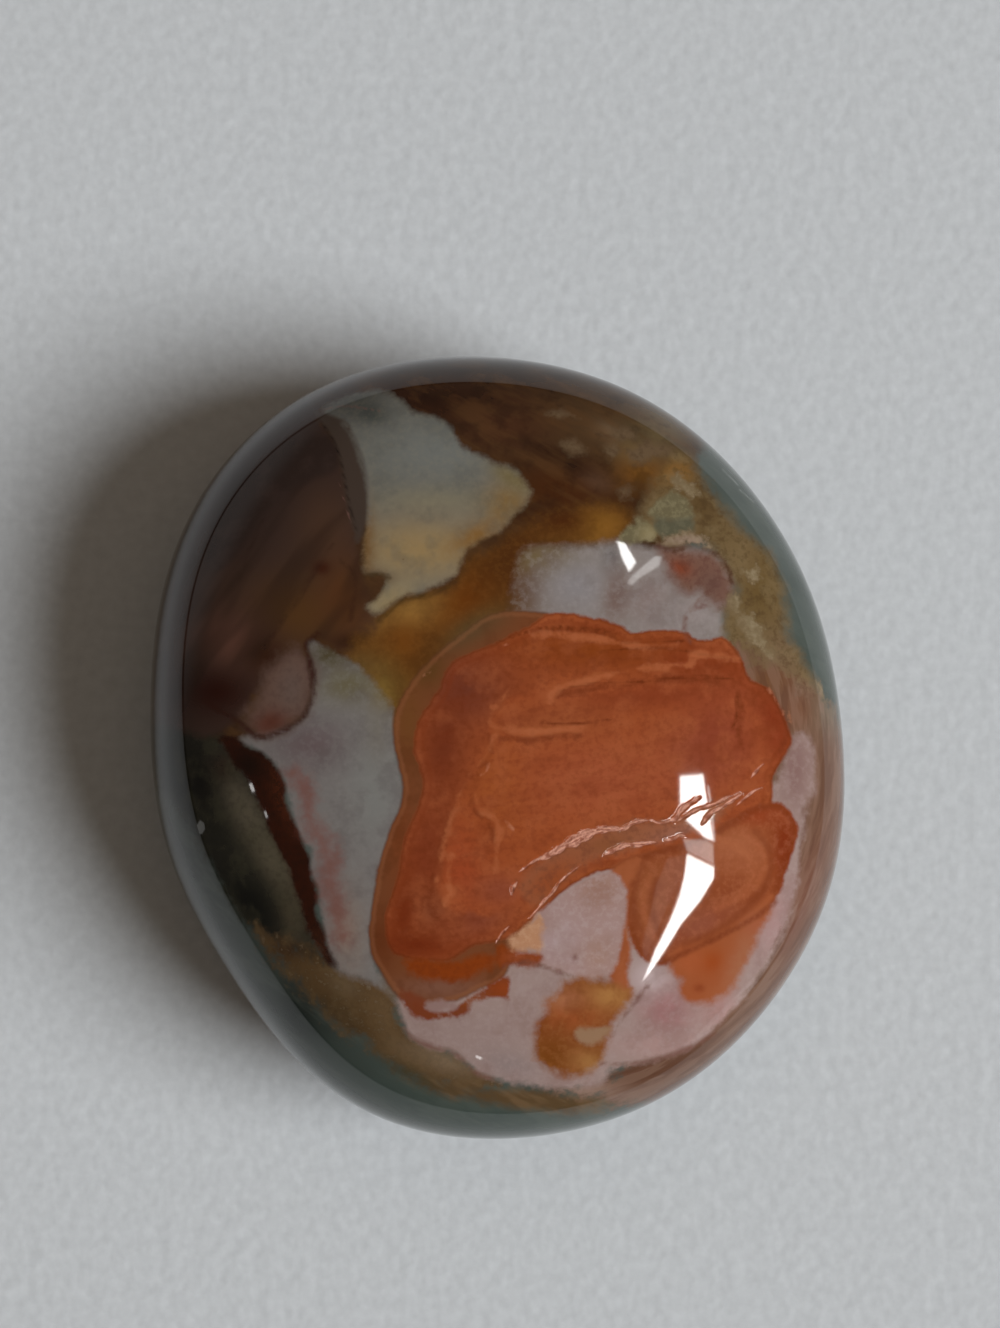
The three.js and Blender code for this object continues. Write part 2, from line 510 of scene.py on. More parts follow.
markings = {
    "ground": dict(colour=(78, 85, 80),
                   spots=(spot((830, 560), (70, 190), (72, 79, 74)),
                          spot((300, 1020), (60, 60), (30, 34, 30)),
                          spot((380, 1120), (230, 90), (62, 72, 66)),
                          spot((160, 930), (100, 170), (46, 50, 46)),
                          spot((140, 640), (60, 200), (68, 65, 61)),
                          spot((480, 300), (300, 70), (70, 60, 52))),
                   mottles=(mottled("broad", (60, 68, 62), 0.5, 0.5, 0.66),
                            mottled("streak", (92, 98, 90), 0.25))),
    "zones": (
        zone("topBrown", (62, 40, 22), edge=0.9, wobble=1.0,
             outlines=(((120, 640), (110, 500), (170, 380), (260, 300), (380, 250), (520, 245), (640, 290),
                        (700, 370), (706, 430), (694, 470), (690, 520), (680, 560), (620, 600), (540, 640),
                        (450, 680), (380, 720), (300, 730), (220, 745), (160, 725)),),
             spots=(spot((430, 400), (120, 26), (48, 24, 12)), spot((510, 345), (170, 28), (58, 48, 40)),
                    spot((590, 430), (60, 50), (74, 54, 33)), spot((560, 490), (60, 36), (66, 34, 12)),
                    spot((505, 425), (50, 26), (72, 43, 25)), spot((610, 432), (16, 9), (104, 82, 60), 20),
                    spot((636, 452), (20, 12), (108, 86, 54)), spot((598, 480), (18, 10), (86, 60, 42), 20),
                    spot((560, 458), (40, 7), (42, 22, 11), 25),
                    spot((604, 508), (40, 9), (58, 32, 14), -20), spot((645, 472), (26, 18), (112, 70, 20)),
                    spot((660, 430), (32, 34), (96, 80, 54)), spot((330, 625), (70, 40), (68, 42, 22)),
                    spot((470, 640), (50, 22), (78, 54, 28), -28)),
             mottles=(mottled("streak", (92, 62, 34), 0.4), mottled("cloud", (30, 17, 10), 0.4))),
        zone("purpleBrown", (60, 43, 36), edge=0.45, wobble=0.5,
             outlines=(((322, 421), (333, 440), (343, 470), (352, 505), (358, 535), (361, 570), (372, 600),
                        (384, 632), (368, 648), (340, 652), (318, 640), (300, 655), (282, 665), (258, 690),
                        (242, 715), (215, 735), (185, 740), (150, 735), (110, 700), (95, 600), (120, 480),
                        (180, 400), (250, 350), (300, 380)),),
             spots=(spot((285, 480), (80, 60), (50, 37, 33)), spot((325, 530), (34, 50), (72, 50, 37)),
                    spot((300, 615), (56, 40), (80, 52, 25)), spot((345, 600), (28, 44), (84, 50, 25)),
                    spot((232, 640), (34, 30), (94, 62, 50)), spot((216, 692), (38, 26), (42, 13, 5)),
                    spot((360, 642), (32, 9), (44, 22, 10)), spot((265, 655), (22, 22), (52, 28, 14), 30),
                    spot((322, 568), (9, 7), (58, 26, 12))),
             mottles=(mottled("slant", (36, 22, 14), 0.45),)),
        # A darker lens inside the purple-brown: a painted reflection of a dark thing in the polish, not a
        # marking of the stone
        zone("paintedDarkReflection", (47, 34, 29), edge=0.55, wobble=0.25,
             outlines=(((300, 436), (328, 437), (340, 447), (336, 468), (312, 480), (288, 492), (266, 512),
                        (250, 536), (236, 556), (220, 569), (208, 568), (206, 548), (214, 516), (226, 490),
                        (246, 464), (272, 447)),),
             mottles=(mottled("cloud", (60, 45, 40), 0.5),)),
        zone("goldBand", (92, 58, 22), edge=1.0, wobble=0.8,
             outlines=(((350, 645), (372, 626), (392, 606), (420, 594), (448, 586), (468, 560), (500, 543),
                        (530, 522), (560, 512), (590, 503), (620, 506), (632, 522), (618, 543), (590, 548),
                        (556, 548), (530, 558), (520, 590), (508, 622), (480, 640), (452, 662), (425, 690),
                        (404, 722), (384, 738), (384, 705), (366, 690), (344, 676)),),
             spots=(spot((420, 612), (40, 16), (162, 122, 60), -12),
                    spot((470, 598), (62, 26), (100, 52, 10), -38),
                    spot((400, 645), (22, 30), (108, 62, 18), 20),
                    spot((600, 528), (26, 18), (130, 88, 32)), spot((562, 520), (26, 14), (72, 36, 10)),
                    spot((515, 562), (28, 46), (76, 42, 14), 35), spot((385, 690), (18, 30), (118, 92, 42)),
                    spot((358, 668), (22, 14), (100, 76, 38)),
                    spot((475, 628), (34, 14), (86, 66, 36), -30)),
             mottles=(mottled("cloud", (66, 34, 10), 0.35), mottled("fine", (136, 92, 40), 0.12))),
        zone("greyCream", (107, 105, 98), edge=0.42, wobble=0.45,
             outlines=(((352, 394), (375, 391), (392, 393), (402, 401), (412, 412), (428, 416), (446, 425),
                        (462, 445), (480, 455), (495, 462), (510, 467), (525, 480), (532, 492), (525, 503),
                        (512, 516), (500, 531), (482, 540), (466, 550), (460, 565), (455, 577), (440, 585),
                        (420, 592), (400, 598), (386, 608), (374, 614), (366, 606), (378, 596), (387, 583),
                        (380, 574), (365, 572), (363, 545), (365, 515), (362, 480), (357, 452), (349, 432),
                        (342, 422), (328, 417), (322, 412), (332, 402)),),
             spots=(spot((358, 408), (34, 20), (78, 77, 73)), spot((372, 414), (16, 9), (62, 64, 60), 20),
                    spot((430, 450), (60, 30), (112, 113, 108)), spot((440, 500), (70, 14), (118, 113, 97)),
                    spot((420, 550), (80, 34), (146, 122, 83)),
                    spot((388, 600), (30, 14), (144, 126, 92), -30),
                    spot((508, 505), (26, 24), (124, 97, 56)),
                    spot((512, 478), (24, 10), (112, 98, 66), 30),
                    spot((476, 536), (30, 12), (126, 92, 48), -25),
                    spot((367, 545), (8, 40), (112, 84, 50)), spot((378, 578), (14, 7), (84, 64, 38))),
             mottles=(mottled("cloud", (84, 84, 78), 0.3), mottled("fine", (150, 138, 112), 0.1))),
        zone("brownWedge", (66, 54, 46), edge=0.3, wobble=0.15,
             outlines=(((314, 412), (330, 415), (344, 422), (353, 434), (360, 450), (365, 466), (368, 486),
                        (368, 508), (365, 530), (357, 545), (352, 526), (347, 505), (343, 480), (339, 456),
                        (331, 437)),)),
        zone("centreLilac", (134, 125, 120), edge=0.6, wobble=0.4,
             outlines=(((516, 566), (524, 551), (540, 545), (560, 547), (590, 545), (618, 542), (640, 545),
                        (660, 548), (690, 546), (706, 550), (718, 557), (728, 570), (732, 585), (729, 600),
                        (723, 615), (726, 634), (715, 646), (640, 650), (560, 640), (528, 628), (510, 612),
                        (513, 588)),),
             spots=(spot((517, 588), (28, 60), (86, 52, 8), 12), spot((545, 558), (34, 16), (108, 90, 58)),
                    spot((578, 585), (32, 26), (133, 127, 127)),
                    spot((612, 556), (10, 14), (108, 102, 100)),
                    spot((618, 596), (14, 26), (112, 88, 78), 12),
                    spot((650, 600), (22, 30), (128, 112, 107)),
                    spot((690, 615), (30, 22), (140, 129, 125))),
             mottles=(mottled("cloud", (112, 98, 94), 0.4), mottled("fine", (158, 152, 150), 0.2))),
        zone("redBrownPatch", (112, 80, 67), edge=0.9, wobble=0.8,
             outlines=(((658, 546), (675, 549), (690, 546), (706, 549), (718, 556), (729, 570), (735, 588),
                        (728, 606), (712, 604), (698, 590), (688, 592), (672, 578), (664, 562)),),
             spots=(spot((680, 568), (12, 8), (122, 62, 40), 20),
                    spot((712, 585), (14, 14), (104, 76, 66))),
             mottles=(mottled("fine", (76, 42, 32), 0.3),)),
        zone("oliveRight", (106, 86, 56), edge=0.8, wobble=0.8,
             outlines=(((672, 452), (692, 458), (706, 484), (735, 522), (768, 552), (784, 598), (787, 632),
                        (797, 652), (807, 668), (818, 686), (824, 702), (802, 704), (786, 694), (765, 684),
                        (745, 672), (738, 655), (726, 638), (724, 615), (730, 600), (734, 584), (722, 560),
                        (704, 546), (680, 545), (660, 540), (640, 524), (652, 490), (662, 468)),),
             spots=(spot((700, 500), (24, 34), (88, 68, 40)), spot((760, 585), (20, 40), (96, 75, 42)),
                    spot((738, 560), (18, 20), (112, 92, 62)), spot((780, 660), (26, 28), (112, 90, 66)),
                    spot((800, 695), (20, 14), (128, 104, 88)), spot((675, 472), (22, 12), (124, 88, 42))),
             mottles=(mottled("cloud", (120, 102, 72), 0.45), mottled("fine", (70, 52, 30), 0.45))),
        zone("palegreenChips", (102, 93, 68), edge=0.3, wobble=0.5, sharp=True,
             outlines=(((648, 514), (659, 501), (671, 489), (685, 497), (693, 512), (691, 524), (668, 521),
                        (655, 520)),
                       ((621, 532), (632, 524), (640, 517), (657, 528), (658, 542), (640, 543),
                        (622, 541))),
             spots=(spot((650, 534), (12, 10), (136, 122, 88)),),
             mottles=(mottled("fine", (140, 130, 100), 0.4),)),
        zone("darkGreenChips", (86, 82, 64), edge=0.35, wobble=0.4, sharp=True,
             outlines=(((656, 517), (676, 520), (692, 518), (694, 532), (676, 535), (662, 540),
                        (654, 526)),),
             mottles=(mottled("fine", (108, 104, 82), 0.4),)),
        zone("creamChips", (122, 106, 80), edge=0.3, wobble=0.9, sharp=True,
             outlines=(((671, 482), (680, 475), (699, 492), (692, 498)),
                       ((742, 571), (757, 565), (761, 577), (753, 586)),
                       ((727, 600), (738, 589), (744, 601), (736, 613)),
                       ((738, 616), (752, 611), (762, 626), (766, 648), (754, 644), (744, 632)),
                       ((760, 643), (771, 652), (776, 663), (764, 657)),
                       ((662, 537), (690, 532), (705, 537), (713, 550), (700, 549), (685, 544), (664, 546)),
                       ((816, 683), (822, 686), (827, 700), (822, 702))),
             spots=(spot((688, 541), (30, 8), (140, 118, 102)),),
             mottles=(mottled("fine", (146, 130, 104), 0.5), mottled("cloud", (104, 84, 56), 0.5))),
        zone("topChips", (100, 80, 58), edge=0.55, wobble=1.0, sharp=True,
             outlines=(((604, 447), (614, 441), (622, 449), (614, 457)),
                       ((612, 431), (626, 428), (634, 437), (620, 441)),
                       ((626, 452), (650, 441), (672, 447), (664, 458), (640, 462), (628, 461)),
                       ((560, 443), (575, 440), (590, 449), (572, 452)),
                       ((619, 490), (628, 488), (630, 495), (622, 498)),
                       ((545, 414), (570, 411), (582, 417), (560, 420))),
             mottles=(mottled("fine", (70, 52, 34), 0.5),)),
        zone("blackGreen", (34, 32, 25), edge=0.6, wobble=0.6,
             outlines=(((172, 728), (205, 738), (228, 742), (248, 770), (262, 800), (284, 842), (300, 872),
                        (308, 905), (318, 945), (332, 975), (312, 968), (286, 950), (262, 935), (240, 915),
                        (212, 870), (188, 825), (160, 790), (110, 790), (90, 730), (120, 715)),),
             spots=(spot((244, 808), (16, 46), (84, 76, 62), -32),
                    spot((274, 862), (17, 46), (84, 76, 60), -30),
                    spot((292, 915), (14, 34), (72, 63, 48), -10),
                    spot((222, 768), (16, 14), (48, 36, 27), -30),
                    spot((250, 910), (26, 40), (15, 15, 11), -30),
                    spot((200, 780), (18, 34), (20, 17, 13), -10)),
             mottles=(mottled("cloud", (66, 62, 46), 0.35), mottled("fine", (16, 15, 11), 0.22))),
        zone("mottledLow", (86, 64, 38), edge=0.8, wobble=1.5,
             outlines=(((258, 930), (285, 940), (312, 950), (332, 968), (352, 970), (378, 972), (396, 990),
                        (402, 1015), (412, 1034), (440, 1046), (465, 1058), (500, 1082), (488, 1092),
                        (440, 1084), (398, 1068), (365, 1046), (338, 1024), (310, 998), (284, 968),
                        (262, 948)),),
             spots=(spot((290, 948), (20, 12), (62, 42, 24)), spot((345, 985), (18, 12), (96, 78, 56), 30),
                    spot((340, 1015), (30, 12), (68, 50, 28), 40),
                    spot((384, 1010), (14, 30), (98, 76, 50), -25),
                    spot((440, 1060), (40, 12), (118, 98, 76), 18)),
             mottles=(mottled("fine", (134, 116, 92), 0.35, 0.56, 0.7),
                      mottled("cloud", (100, 80, 54), 0.45), mottled("fine", (44, 33, 20), 0.2))),
        zone("oliveLow", (86, 66, 42), edge=0.7, wobble=0.7,
             outlines=(((372, 1050), (400, 1066), (440, 1082), (490, 1088), (540, 1090), (600, 1096),
                        (660, 1085), (665, 1096), (610, 1108), (560, 1114), (510, 1108), (455, 1097),
                        (405, 1078)),),
             spots=(spot((400, 1070), (40, 16), (64, 58, 40), 25),),
             mottles=(mottled("streak", (124, 98, 70), 0.4),)),
        zone("leftLilac", (117, 112, 109), edge=0.38, wobble=0.5,
             outlines=(((312, 641), (330, 648), (352, 662), (374, 682), (388, 700), (393, 720), (394, 740),
                        (397, 760), (402, 785), (400, 810), (392, 832), (385, 855), (378, 885), (373, 920),
                        (371, 945), (376, 965), (392, 990), (398, 1004), (384, 992), (362, 980), (345, 974),
                        (332, 962), (326, 940), (321, 912), (319, 885), (309, 870), (311, 852), (300, 835),
                        (292, 815), (286, 790), (278, 768), (262, 752), (240, 740), (262, 733), (290, 727),
                        (306, 714), (312, 690), (313, 665), (308, 650)),),
             spots=(spot((330, 655), (30, 16), (74, 64, 42)), spot((350, 685), (36, 20), (102, 94, 72)),
                    spot((382, 700), (12, 20), (112, 96, 60)), spot((310, 745), (40, 26), (100, 86, 86)),
                    spot((375, 790), (26, 50), (120, 119, 115)),
                    spot((349, 935), (18, 44), (132, 116, 106)), spot((392, 990), (12, 14), (108, 92, 76)),
                    spot((378, 730), (14, 30), (114, 108, 100))),
             mottles=(mottled("cloud", (90, 82, 80), 0.35), mottled("fine", (134, 130, 126), 0.18))),
        zone("mauveGrey", (98, 75, 65), edge=1.0, wobble=0.9,
             outlines=(((270, 666), (284, 655), (298, 650), (309, 664), (313, 690), (306, 712), (296, 722),
                        (278, 732), (262, 738), (250, 730), (244, 716), (256, 700), (262, 684)),),
             spots=(spot((272, 722), (20, 12), (88, 48, 36), -20),
                    spot((292, 690), (14, 24), (98, 80, 72))),
             mottles=(mottled("fine", (60, 40, 32), 0.2),)),
        zone("darkVein", (44, 15, 4), edge=0.3, wobble=0.42,
             outlines=(((220, 740), (234, 737), (246, 746), (264, 754), (276, 768), (286, 784), (286, 800),
                        (294, 820), (301, 840), (310, 857), (310, 875), (317, 890), (316, 911), (324, 928),
                        (328, 948), (338, 966), (326, 962), (317, 945), (306, 929), (302, 908), (295, 892),
                        (288, 868), (281, 852), (272, 834), (263, 814), (254, 795), (243, 775),
                        (230, 757)),),
             spots=(spot((250, 765), (20, 14), (24, 9, 3), 30),
                    spot((284, 800), (10, 34), (64, 28, 12), -20),
                    spot((318, 950), (10, 20), (58, 30, 16))),
             mottles=(mottled("fine", (26, 10, 4), 0.5),)),
        zone("pinkRim", (108, 79, 63), edge=0.8, wobble=1.6,
             outlines=(((735, 652), (752, 656), (778, 668), (800, 686), (814, 693), (828, 705), (856, 726),
                        (885, 740), (912, 800), (900, 868), (862, 930), (840, 1010), (790, 1070),
                        (752, 1118), (706, 1128), (660, 1112), (610, 1102), (600, 1097), (560, 1093),
                        (556, 1086), (600, 1080), (640, 1040), (700, 960), (740, 900), (760, 850),
                        (740, 760), (720, 680)),),
             spots=(spot((835, 710), (30, 24), (110, 95, 78)), spot((770, 680), (30, 18), (106, 72, 48)),
                    spot((795, 712), (18, 22), (112, 76, 56)),
                    spot((640, 1075), (70, 14), (92, 62, 46), -14),
                    spot((590, 1092), (36, 9), (138, 112, 98)),
                    spot((800, 900), (14, 60), (112, 76, 62), 18)),
             mottles=(mottled("rimStreak", (134, 106, 90), 0.34, 0.5, 0.6),
                      mottled("rimStreak", (80, 50, 36), 0.34, 0.5, 0.4))),
        zone("lilacGround", (150, 128, 121), edge=0.45, wobble=0.5,
             outlines=(((794, 734), (808, 735), (815, 770), (812, 792), (806, 808), (801, 850), (797, 880),
                        (790, 908), (776, 945), (752, 985), (724, 1020), (692, 1046), (652, 1060),
                        (612, 1070), (600, 1084), (560, 1088), (520, 1084), (492, 1078), (475, 1070),
                        (452, 1052), (430, 1048), (410, 1036), (402, 1020), (398, 1000), (420, 960),
                        (500, 940), (560, 880), (620, 860), (640, 900), (700, 900), (768, 870), (770, 800),
                        (775, 780), (788, 752)),),
             spots=(spot((480, 1030), (60, 18), (146, 124, 118)),
                    spot((510, 1065), (34, 16), (138, 120, 116), 15),
                    spot((540, 990), (24, 16), (152, 130, 124)),
                    spot((666, 1008), (26, 30), (150, 104, 103), -20),
                    spot((660, 1045), (50, 14), (158, 128, 122)),
                    spot((650, 978), (20, 18), (180, 160, 158)),
                    spot((720, 1010), (22, 24), (158, 122, 116), -40),
                    spot((795, 770), (16, 44), (126, 97, 91)),
                    spot((775, 920), (14, 40), (158, 126, 122), 20)),
             mottles=(mottled("cloud", (128, 100, 94), 0.4), mottled("fine", (168, 150, 146), 0.2))),
        zone("translucentBand", (112, 64, 36), edge=0.2, wobble=0.22,
             outlines=(((560, 700), (560, 625), (530, 611), (492, 613), (470, 626), (450, 641), (435, 655),
                        (420, 670), (408, 686), (399, 703), (393, 722), (394, 742), (398, 762), (402, 780),
                        (403, 796), (398, 812), (390, 830), (384, 846), (379, 864), (374, 890), (370, 915),
                        (369, 938), (372, 956), (380, 972), (390, 987), (402, 1000), (425, 1006),
                        (455, 1002), (480, 990), (505, 975), (520, 940), (560, 860)),),
             spots=(spot((470, 630), (50, 16), (90, 66, 40), -30), spot((425, 668), (20, 20), (88, 58, 26)),
                    spot((408, 720), (16, 40), (108, 66, 32)), spot((400, 840), (14, 50), (116, 60, 30)),
                    spot((382, 940), (14, 30), (100, 50, 24)), spot((440, 988), (44, 12), (118, 78, 60))),
             mottles=(mottled("cloud", (86, 44, 20), 0.4),),
             bands=(band(0.35, 0.35, (140, 88, 56), 0.35), band(0.02, 0.16, (84, 52, 30), 0.5))),
        zone("orangeBody", (148, 74, 38), edge=0.16, wobble=0.28,
             outlines=(((510, 634), (530, 626), (546, 615), (570, 613), (590, 617), (610, 621), (622, 626),
                        (630, 632), (645, 631), (665, 630), (685, 632), (697, 640), (710, 641), (723, 638),
                        (735, 650), (743, 662), (750, 678), (760, 684), (770, 690), (777, 700), (784, 715),
                        (791, 735), (792, 743), (785, 755), (777, 770), (772, 785), (772, 800), (768, 820),
                        (736, 838), (704, 852), (664, 862), (628, 868), (600, 872), (575, 884), (555, 900),
                        (540, 914), (525, 926), (512, 936), (500, 940), (475, 946), (460, 955), (448, 961),
                        (430, 961), (405, 958), (391, 951), (386, 938), (385, 918), (390, 898), (396, 878),
                        (404, 842), (412, 818), (420, 800), (423, 785), (420, 768), (415, 750), (414, 735),
                        (418, 720), (428, 705), (438, 690), (443, 674), (452, 662), (470, 652),
                        (492, 645)),),
             spots=(spot((600, 652), (110, 18), (126, 58, 18), 4),
                    spot((470, 690), (40, 34), (104, 52, 36)), spot((445, 745), (26, 60), (106, 46, 24), 8),
                    spot((430, 850), (26, 60), (122, 54, 28), 12),
                    spot((418, 945), (44, 16), (108, 38, 10)), spot((404, 910), (14, 40), (112, 42, 14), 8),
                    spot((432, 910), (16, 18), (130, 68, 40)),
                    spot((480, 915), (34, 22), (128, 64, 42), -20),
                    spot((520, 780), (30, 60), (148, 76, 40)), spot((600, 745), (90, 50), (150, 74, 42)),
                    spot((720, 720), (50, 50), (130, 60, 37)),
                    spot((775, 725), (16, 40), (124, 50, 26), -12),
                    spot((700, 665), (50, 16), (124, 52, 24), 6),
                    spot((560, 850), (40, 22), (142, 80, 52), -20)),
             mottles=(mottled("strata", (118, 52, 24), 0.32), mottled("cloud", (160, 88, 52), 0.3),
                      mottled("fine", (104, 40, 16), 0.35)),
             bands=(band(0.1, 0.22, (96, 38, 14), 0.45), band(0.75, 0.35, (120, 50, 22), 0.35))),
        zone("plateau", (150, 74, 38), edge=0.5, wobble=0.9,
             outlines=(((600, 690), (560, 690), (522, 692), (502, 700), (489, 718), (488, 736), (483, 750),
                        (474, 768), (461, 786), (455, 802), (452, 822), (444, 845), (443, 862), (440, 880),
                        (445, 898), (462, 912), (500, 912), (560, 880), (640, 850), (700, 835), (752, 812),
                        (764, 780), (764, 730), (742, 696), (690, 684), (640, 684)),),
             spots=(spot((462, 864), (22, 40), (150, 66, 34)), spot((490, 832), (16, 24), (134, 60, 30)),
                    spot((478, 770), (18, 30), (126, 58, 27), 20),
                    spot((500, 790), (28, 50), (152, 78, 36)),
                    spot((640, 697), (90, 14), (128, 56, 28), -6),
                    spot((520, 722), (24, 10), (126, 56, 27)), spot((700, 756), (34, 26), (148, 80, 56)),
                    spot((610, 780), (80, 40), (154, 78, 48)), spot((720, 740), (40, 50), (132, 61, 39)),
                    spot((560, 720), (60, 20), (146, 76, 42)), spot((500, 890), (26, 16), (140, 72, 48))),
             mottles=(mottled("strata", (128, 58, 30), 0.35), mottled("cloud", (164, 90, 54), 0.35),
                      mottled("fine", (116, 48, 22), 0.35))),
        zone("crackGround", (142, 86, 58), edge=0.55, wobble=0.7,
             outlines=(((522, 884), (538, 862), (560, 848), (580, 838), (605, 831), (640, 821), (672, 821),
                        (700, 806), (730, 800), (715, 822), (694, 832), (664, 842), (640, 846), (616, 853),
                        (596, 862), (574, 874), (560, 888), (540, 902), (528, 898)),),
             spots=(spot((604, 844), (24, 8), (132, 78, 48), -14),
                    spot((552, 880), (34, 16), (142, 72, 38), -35),
                    spot((680, 838), (30, 12), (150, 98, 80), -14)),
             mottles=(mottled("fine", (110, 60, 42), 0.5),)),
        zone("lobe", (134, 67, 34), edge=0.2, wobble=0.35,
             outlines=(((612, 868), (632, 858), (650, 850), (668, 846), (700, 836), (728, 820), (752, 806),
                        (772, 802), (785, 805), (795, 817), (798, 830), (795, 846), (790, 862), (784, 880),
                        (776, 899), (760, 913), (740, 926), (712, 941), (685, 953), (665, 963), (650, 964),
                        (638, 956), (628, 930), (624, 900), (622, 884)),),
             spots=(spot((735, 850), (30, 26), (156, 90, 58)), spot((650, 900), (22, 40), (140, 78, 46)),
                    spot((785, 845), (12, 36), (116, 42, 16)),
                    spot((700, 925), (40, 16), (136, 74, 52), -28),
                    spot((760, 815), (26, 10), (138, 60, 30))),
             mottles=(mottled("cloud", (128, 60, 32), 0.35), mottled("fine", (170, 104, 72), 0.25)),
             bands=(band(0.3, 0.7, (108, 44, 18), 0.5),)),
        zone("column", (152, 84, 50), edge=0.4, wobble=0.4,
             outlines=(((610, 874), (618, 864), (640, 856), (641, 872), (632, 896), (628, 925), (631, 950),
                        (628, 972), (632, 990), (622, 1000), (612, 985), (611, 962), (617, 938), (622, 905),
                        (620, 888)),),
             mottles=(mottled("cloud", (134, 66, 34), 0.4),),
             bands=(band(0.0, 0.2, (112, 54, 28), 0.3),)),
        zone("lowerOrange", (148, 80, 46), edge=0.55, wobble=0.6,
             outlines=(((774, 893), (772, 914), (760, 932), (753, 948), (746, 965), (736, 985), (723, 998),
                        (704, 1003), (688, 1000), (681, 990), (683, 980), (675, 975), (668, 958),
                        (683, 945), (709, 933), (737, 918), (757, 904)),),
             spots=(spot((712, 962), (16, 13), (144, 66, 26)), spot((699, 988), (5, 4), (122, 52, 24)),
                    spot((690, 960), (14, 14), (160, 84, 48)),
                    spot((740, 960), (12, 36), (150, 94, 66), 25),
                    spot((758, 925), (16, 12), (150, 84, 56))),
             mottles=(mottled("cloud", (146, 74, 40), 0.35),)),
        zone("wedge", (158, 130, 124), edge=0.24, wobble=0.3,
             outlines=(((534, 918), (545, 909), (560, 895), (575, 885), (592, 877), (608, 872), (618, 875),
                        (624, 884), (627, 895), (625, 920), (621, 942), (616, 966), (604, 975), (585, 978),
                        (564, 973), (545, 966), (538, 956), (541, 944), (536, 930)),),
             spots=(spot((600, 890), (22, 18), (150, 114, 100)),
                    spot((560, 945), (26, 24), (162, 138, 136)),
                    spot((598, 955), (16, 20), (156, 124, 112)), spot((575, 958), (3, 3), (110, 74, 68))),
             mottles=(mottled("fine", (176, 158, 154), 0.35), mottled("cloud", (140, 108, 98), 0.35))),
        zone("orangeTongue", (128, 55, 14), edge=0.45, wobble=0.7,
             outlines=(((500, 946), (512, 950), (528, 951), (541, 957), (537, 964), (515, 966), (498, 963)),
                       ((400, 961), (420, 959), (450, 962), (476, 954), (497, 958), (484, 971), (464, 980),
                        (432, 980), (410, 973))),
             spots=(spot((522, 957), (18, 8), (140, 72, 42)),),
             mottles=(mottled("fine", (104, 42, 14), 0.4),)),
        zone("creamTriangle", (174, 126, 94), edge=0.35, wobble=0.6,
             outlines=(((509, 941), (520, 931), (538, 918), (543, 933), (541, 949), (528, 951),
                        (513, 949)),),
             mottles=(mottled("fine", (194, 154, 124), 0.4),)),
        zone("hook", (116, 58, 34), edge=0.28, wobble=0.5,
             outlines=(((499, 980), (509, 978), (508, 998), (496, 997), (482, 1002), (470, 1006),
                        (463, 1015), (440, 1019), (418, 1016), (404, 1005), (398, 991), (414, 993),
                        (426, 1001), (424, 1008), (440, 1012), (457, 1009), (462, 1001), (478, 991),
                        (490, 986)),),
             spots=(spot((500, 988), (14, 10), (138, 62, 24)), spot((470, 1000), (16, 8), (128, 66, 32))),
             mottles=(mottled("cloud", (116, 50, 20), 0.4),)),
        zone("lilacOval", (140, 112, 106), edge=0.3, wobble=0.4,
             outlines=(((426, 1003), (436, 1000), (448, 1000), (456, 1002), (455, 1008), (442, 1011),
                        (430, 1010)),)),
        zone("goldBrown", (126, 70, 34), edge=0.55, wobble=0.7,
             outlines=(((567, 980), (582, 976), (598, 981), (618, 985), (631, 988), (628, 1004),
                        (620, 1018), (612, 1034), (606, 1050), (598, 1066), (580, 1075), (560, 1074),
                        (542, 1066), (533, 1056), (534, 1042), (540, 1024), (547, 1012), (542, 1002),
                        (556, 994)),),
             spots=(spot((552, 1056), (20, 20), (112, 62, 20)), spot((570, 1015), (30, 14), (146, 76, 38)),
                    spot((610, 996), (24, 13), (162, 112, 62)), spot((590, 1062), (18, 14), (148, 102, 56)),
                    spot((566, 1000), (18, 10), (158, 100, 68))),
             mottles=(mottled("cloud", (110, 54, 18), 0.45), mottled("fine", (158, 104, 60), 0.2))),
        zone("creamWindow", (142, 110, 84), edge=0.35, wobble=0.5,
             outlines=(((575, 1030), (590, 1027), (612, 1025), (611, 1033), (600, 1042), (582, 1042)),)),
    ),
    "lines": (
        line("strataLines", (96, 38, 14), 0.8, width=0.2, edge=0.14, wobble=0.14,
             paths=(((498, 642), (515, 636), (534, 630), (552, 627), (575, 627), (598, 629), (615, 634)),
                    ((534, 634), (560, 630), (590, 631), (612, 637), (626, 643), (650, 643), (684, 641)),
                    ((600, 652), (640, 648), (680, 650), (712, 656), (735, 660)),
                    ((558, 692), (580, 685), (620, 683), (660, 680), (700, 676), (735, 680)),
                    ((540, 722), (570, 724), (610, 720)),
                    ((736, 697), (737, 712), (733, 728)))),
        line("ridgeShade", (104, 42, 18), 0.6, width=0.34, edge=0.34, wobble=0.6,
             paths=(((510, 692), (500, 704), (486, 724), (491, 748), (482, 766), (470, 779), (460, 792)),
                    ((558, 695), (580, 691), (610, 687), (650, 681), (690, 679), (724, 684)),
                    ((454, 808), (447, 828), (441, 848), (435, 868), (431, 888), (429, 908), (436, 918)),
                    ((500, 738), (530, 740), (556, 736), (580, 737)),
                    ((472, 796), (476, 812), (488, 822), (494, 840)),
                    ((738, 690), (742, 712), (738, 730), (744, 750)))),
        line("ridgeLight", (182, 106, 66), 0.5, width=0.3, edge=0.3, wobble=0.6,
             paths=(((515, 682), (506, 695), (494, 708), (489, 722), (499, 728), (523, 732), (557, 730),
                     (588, 727)),
                    ((496, 732), (490, 746), (485, 757), (478, 765), (466, 781), (459, 796), (456, 806),
                     (450, 824), (445, 842), (440, 862), (437, 882)),
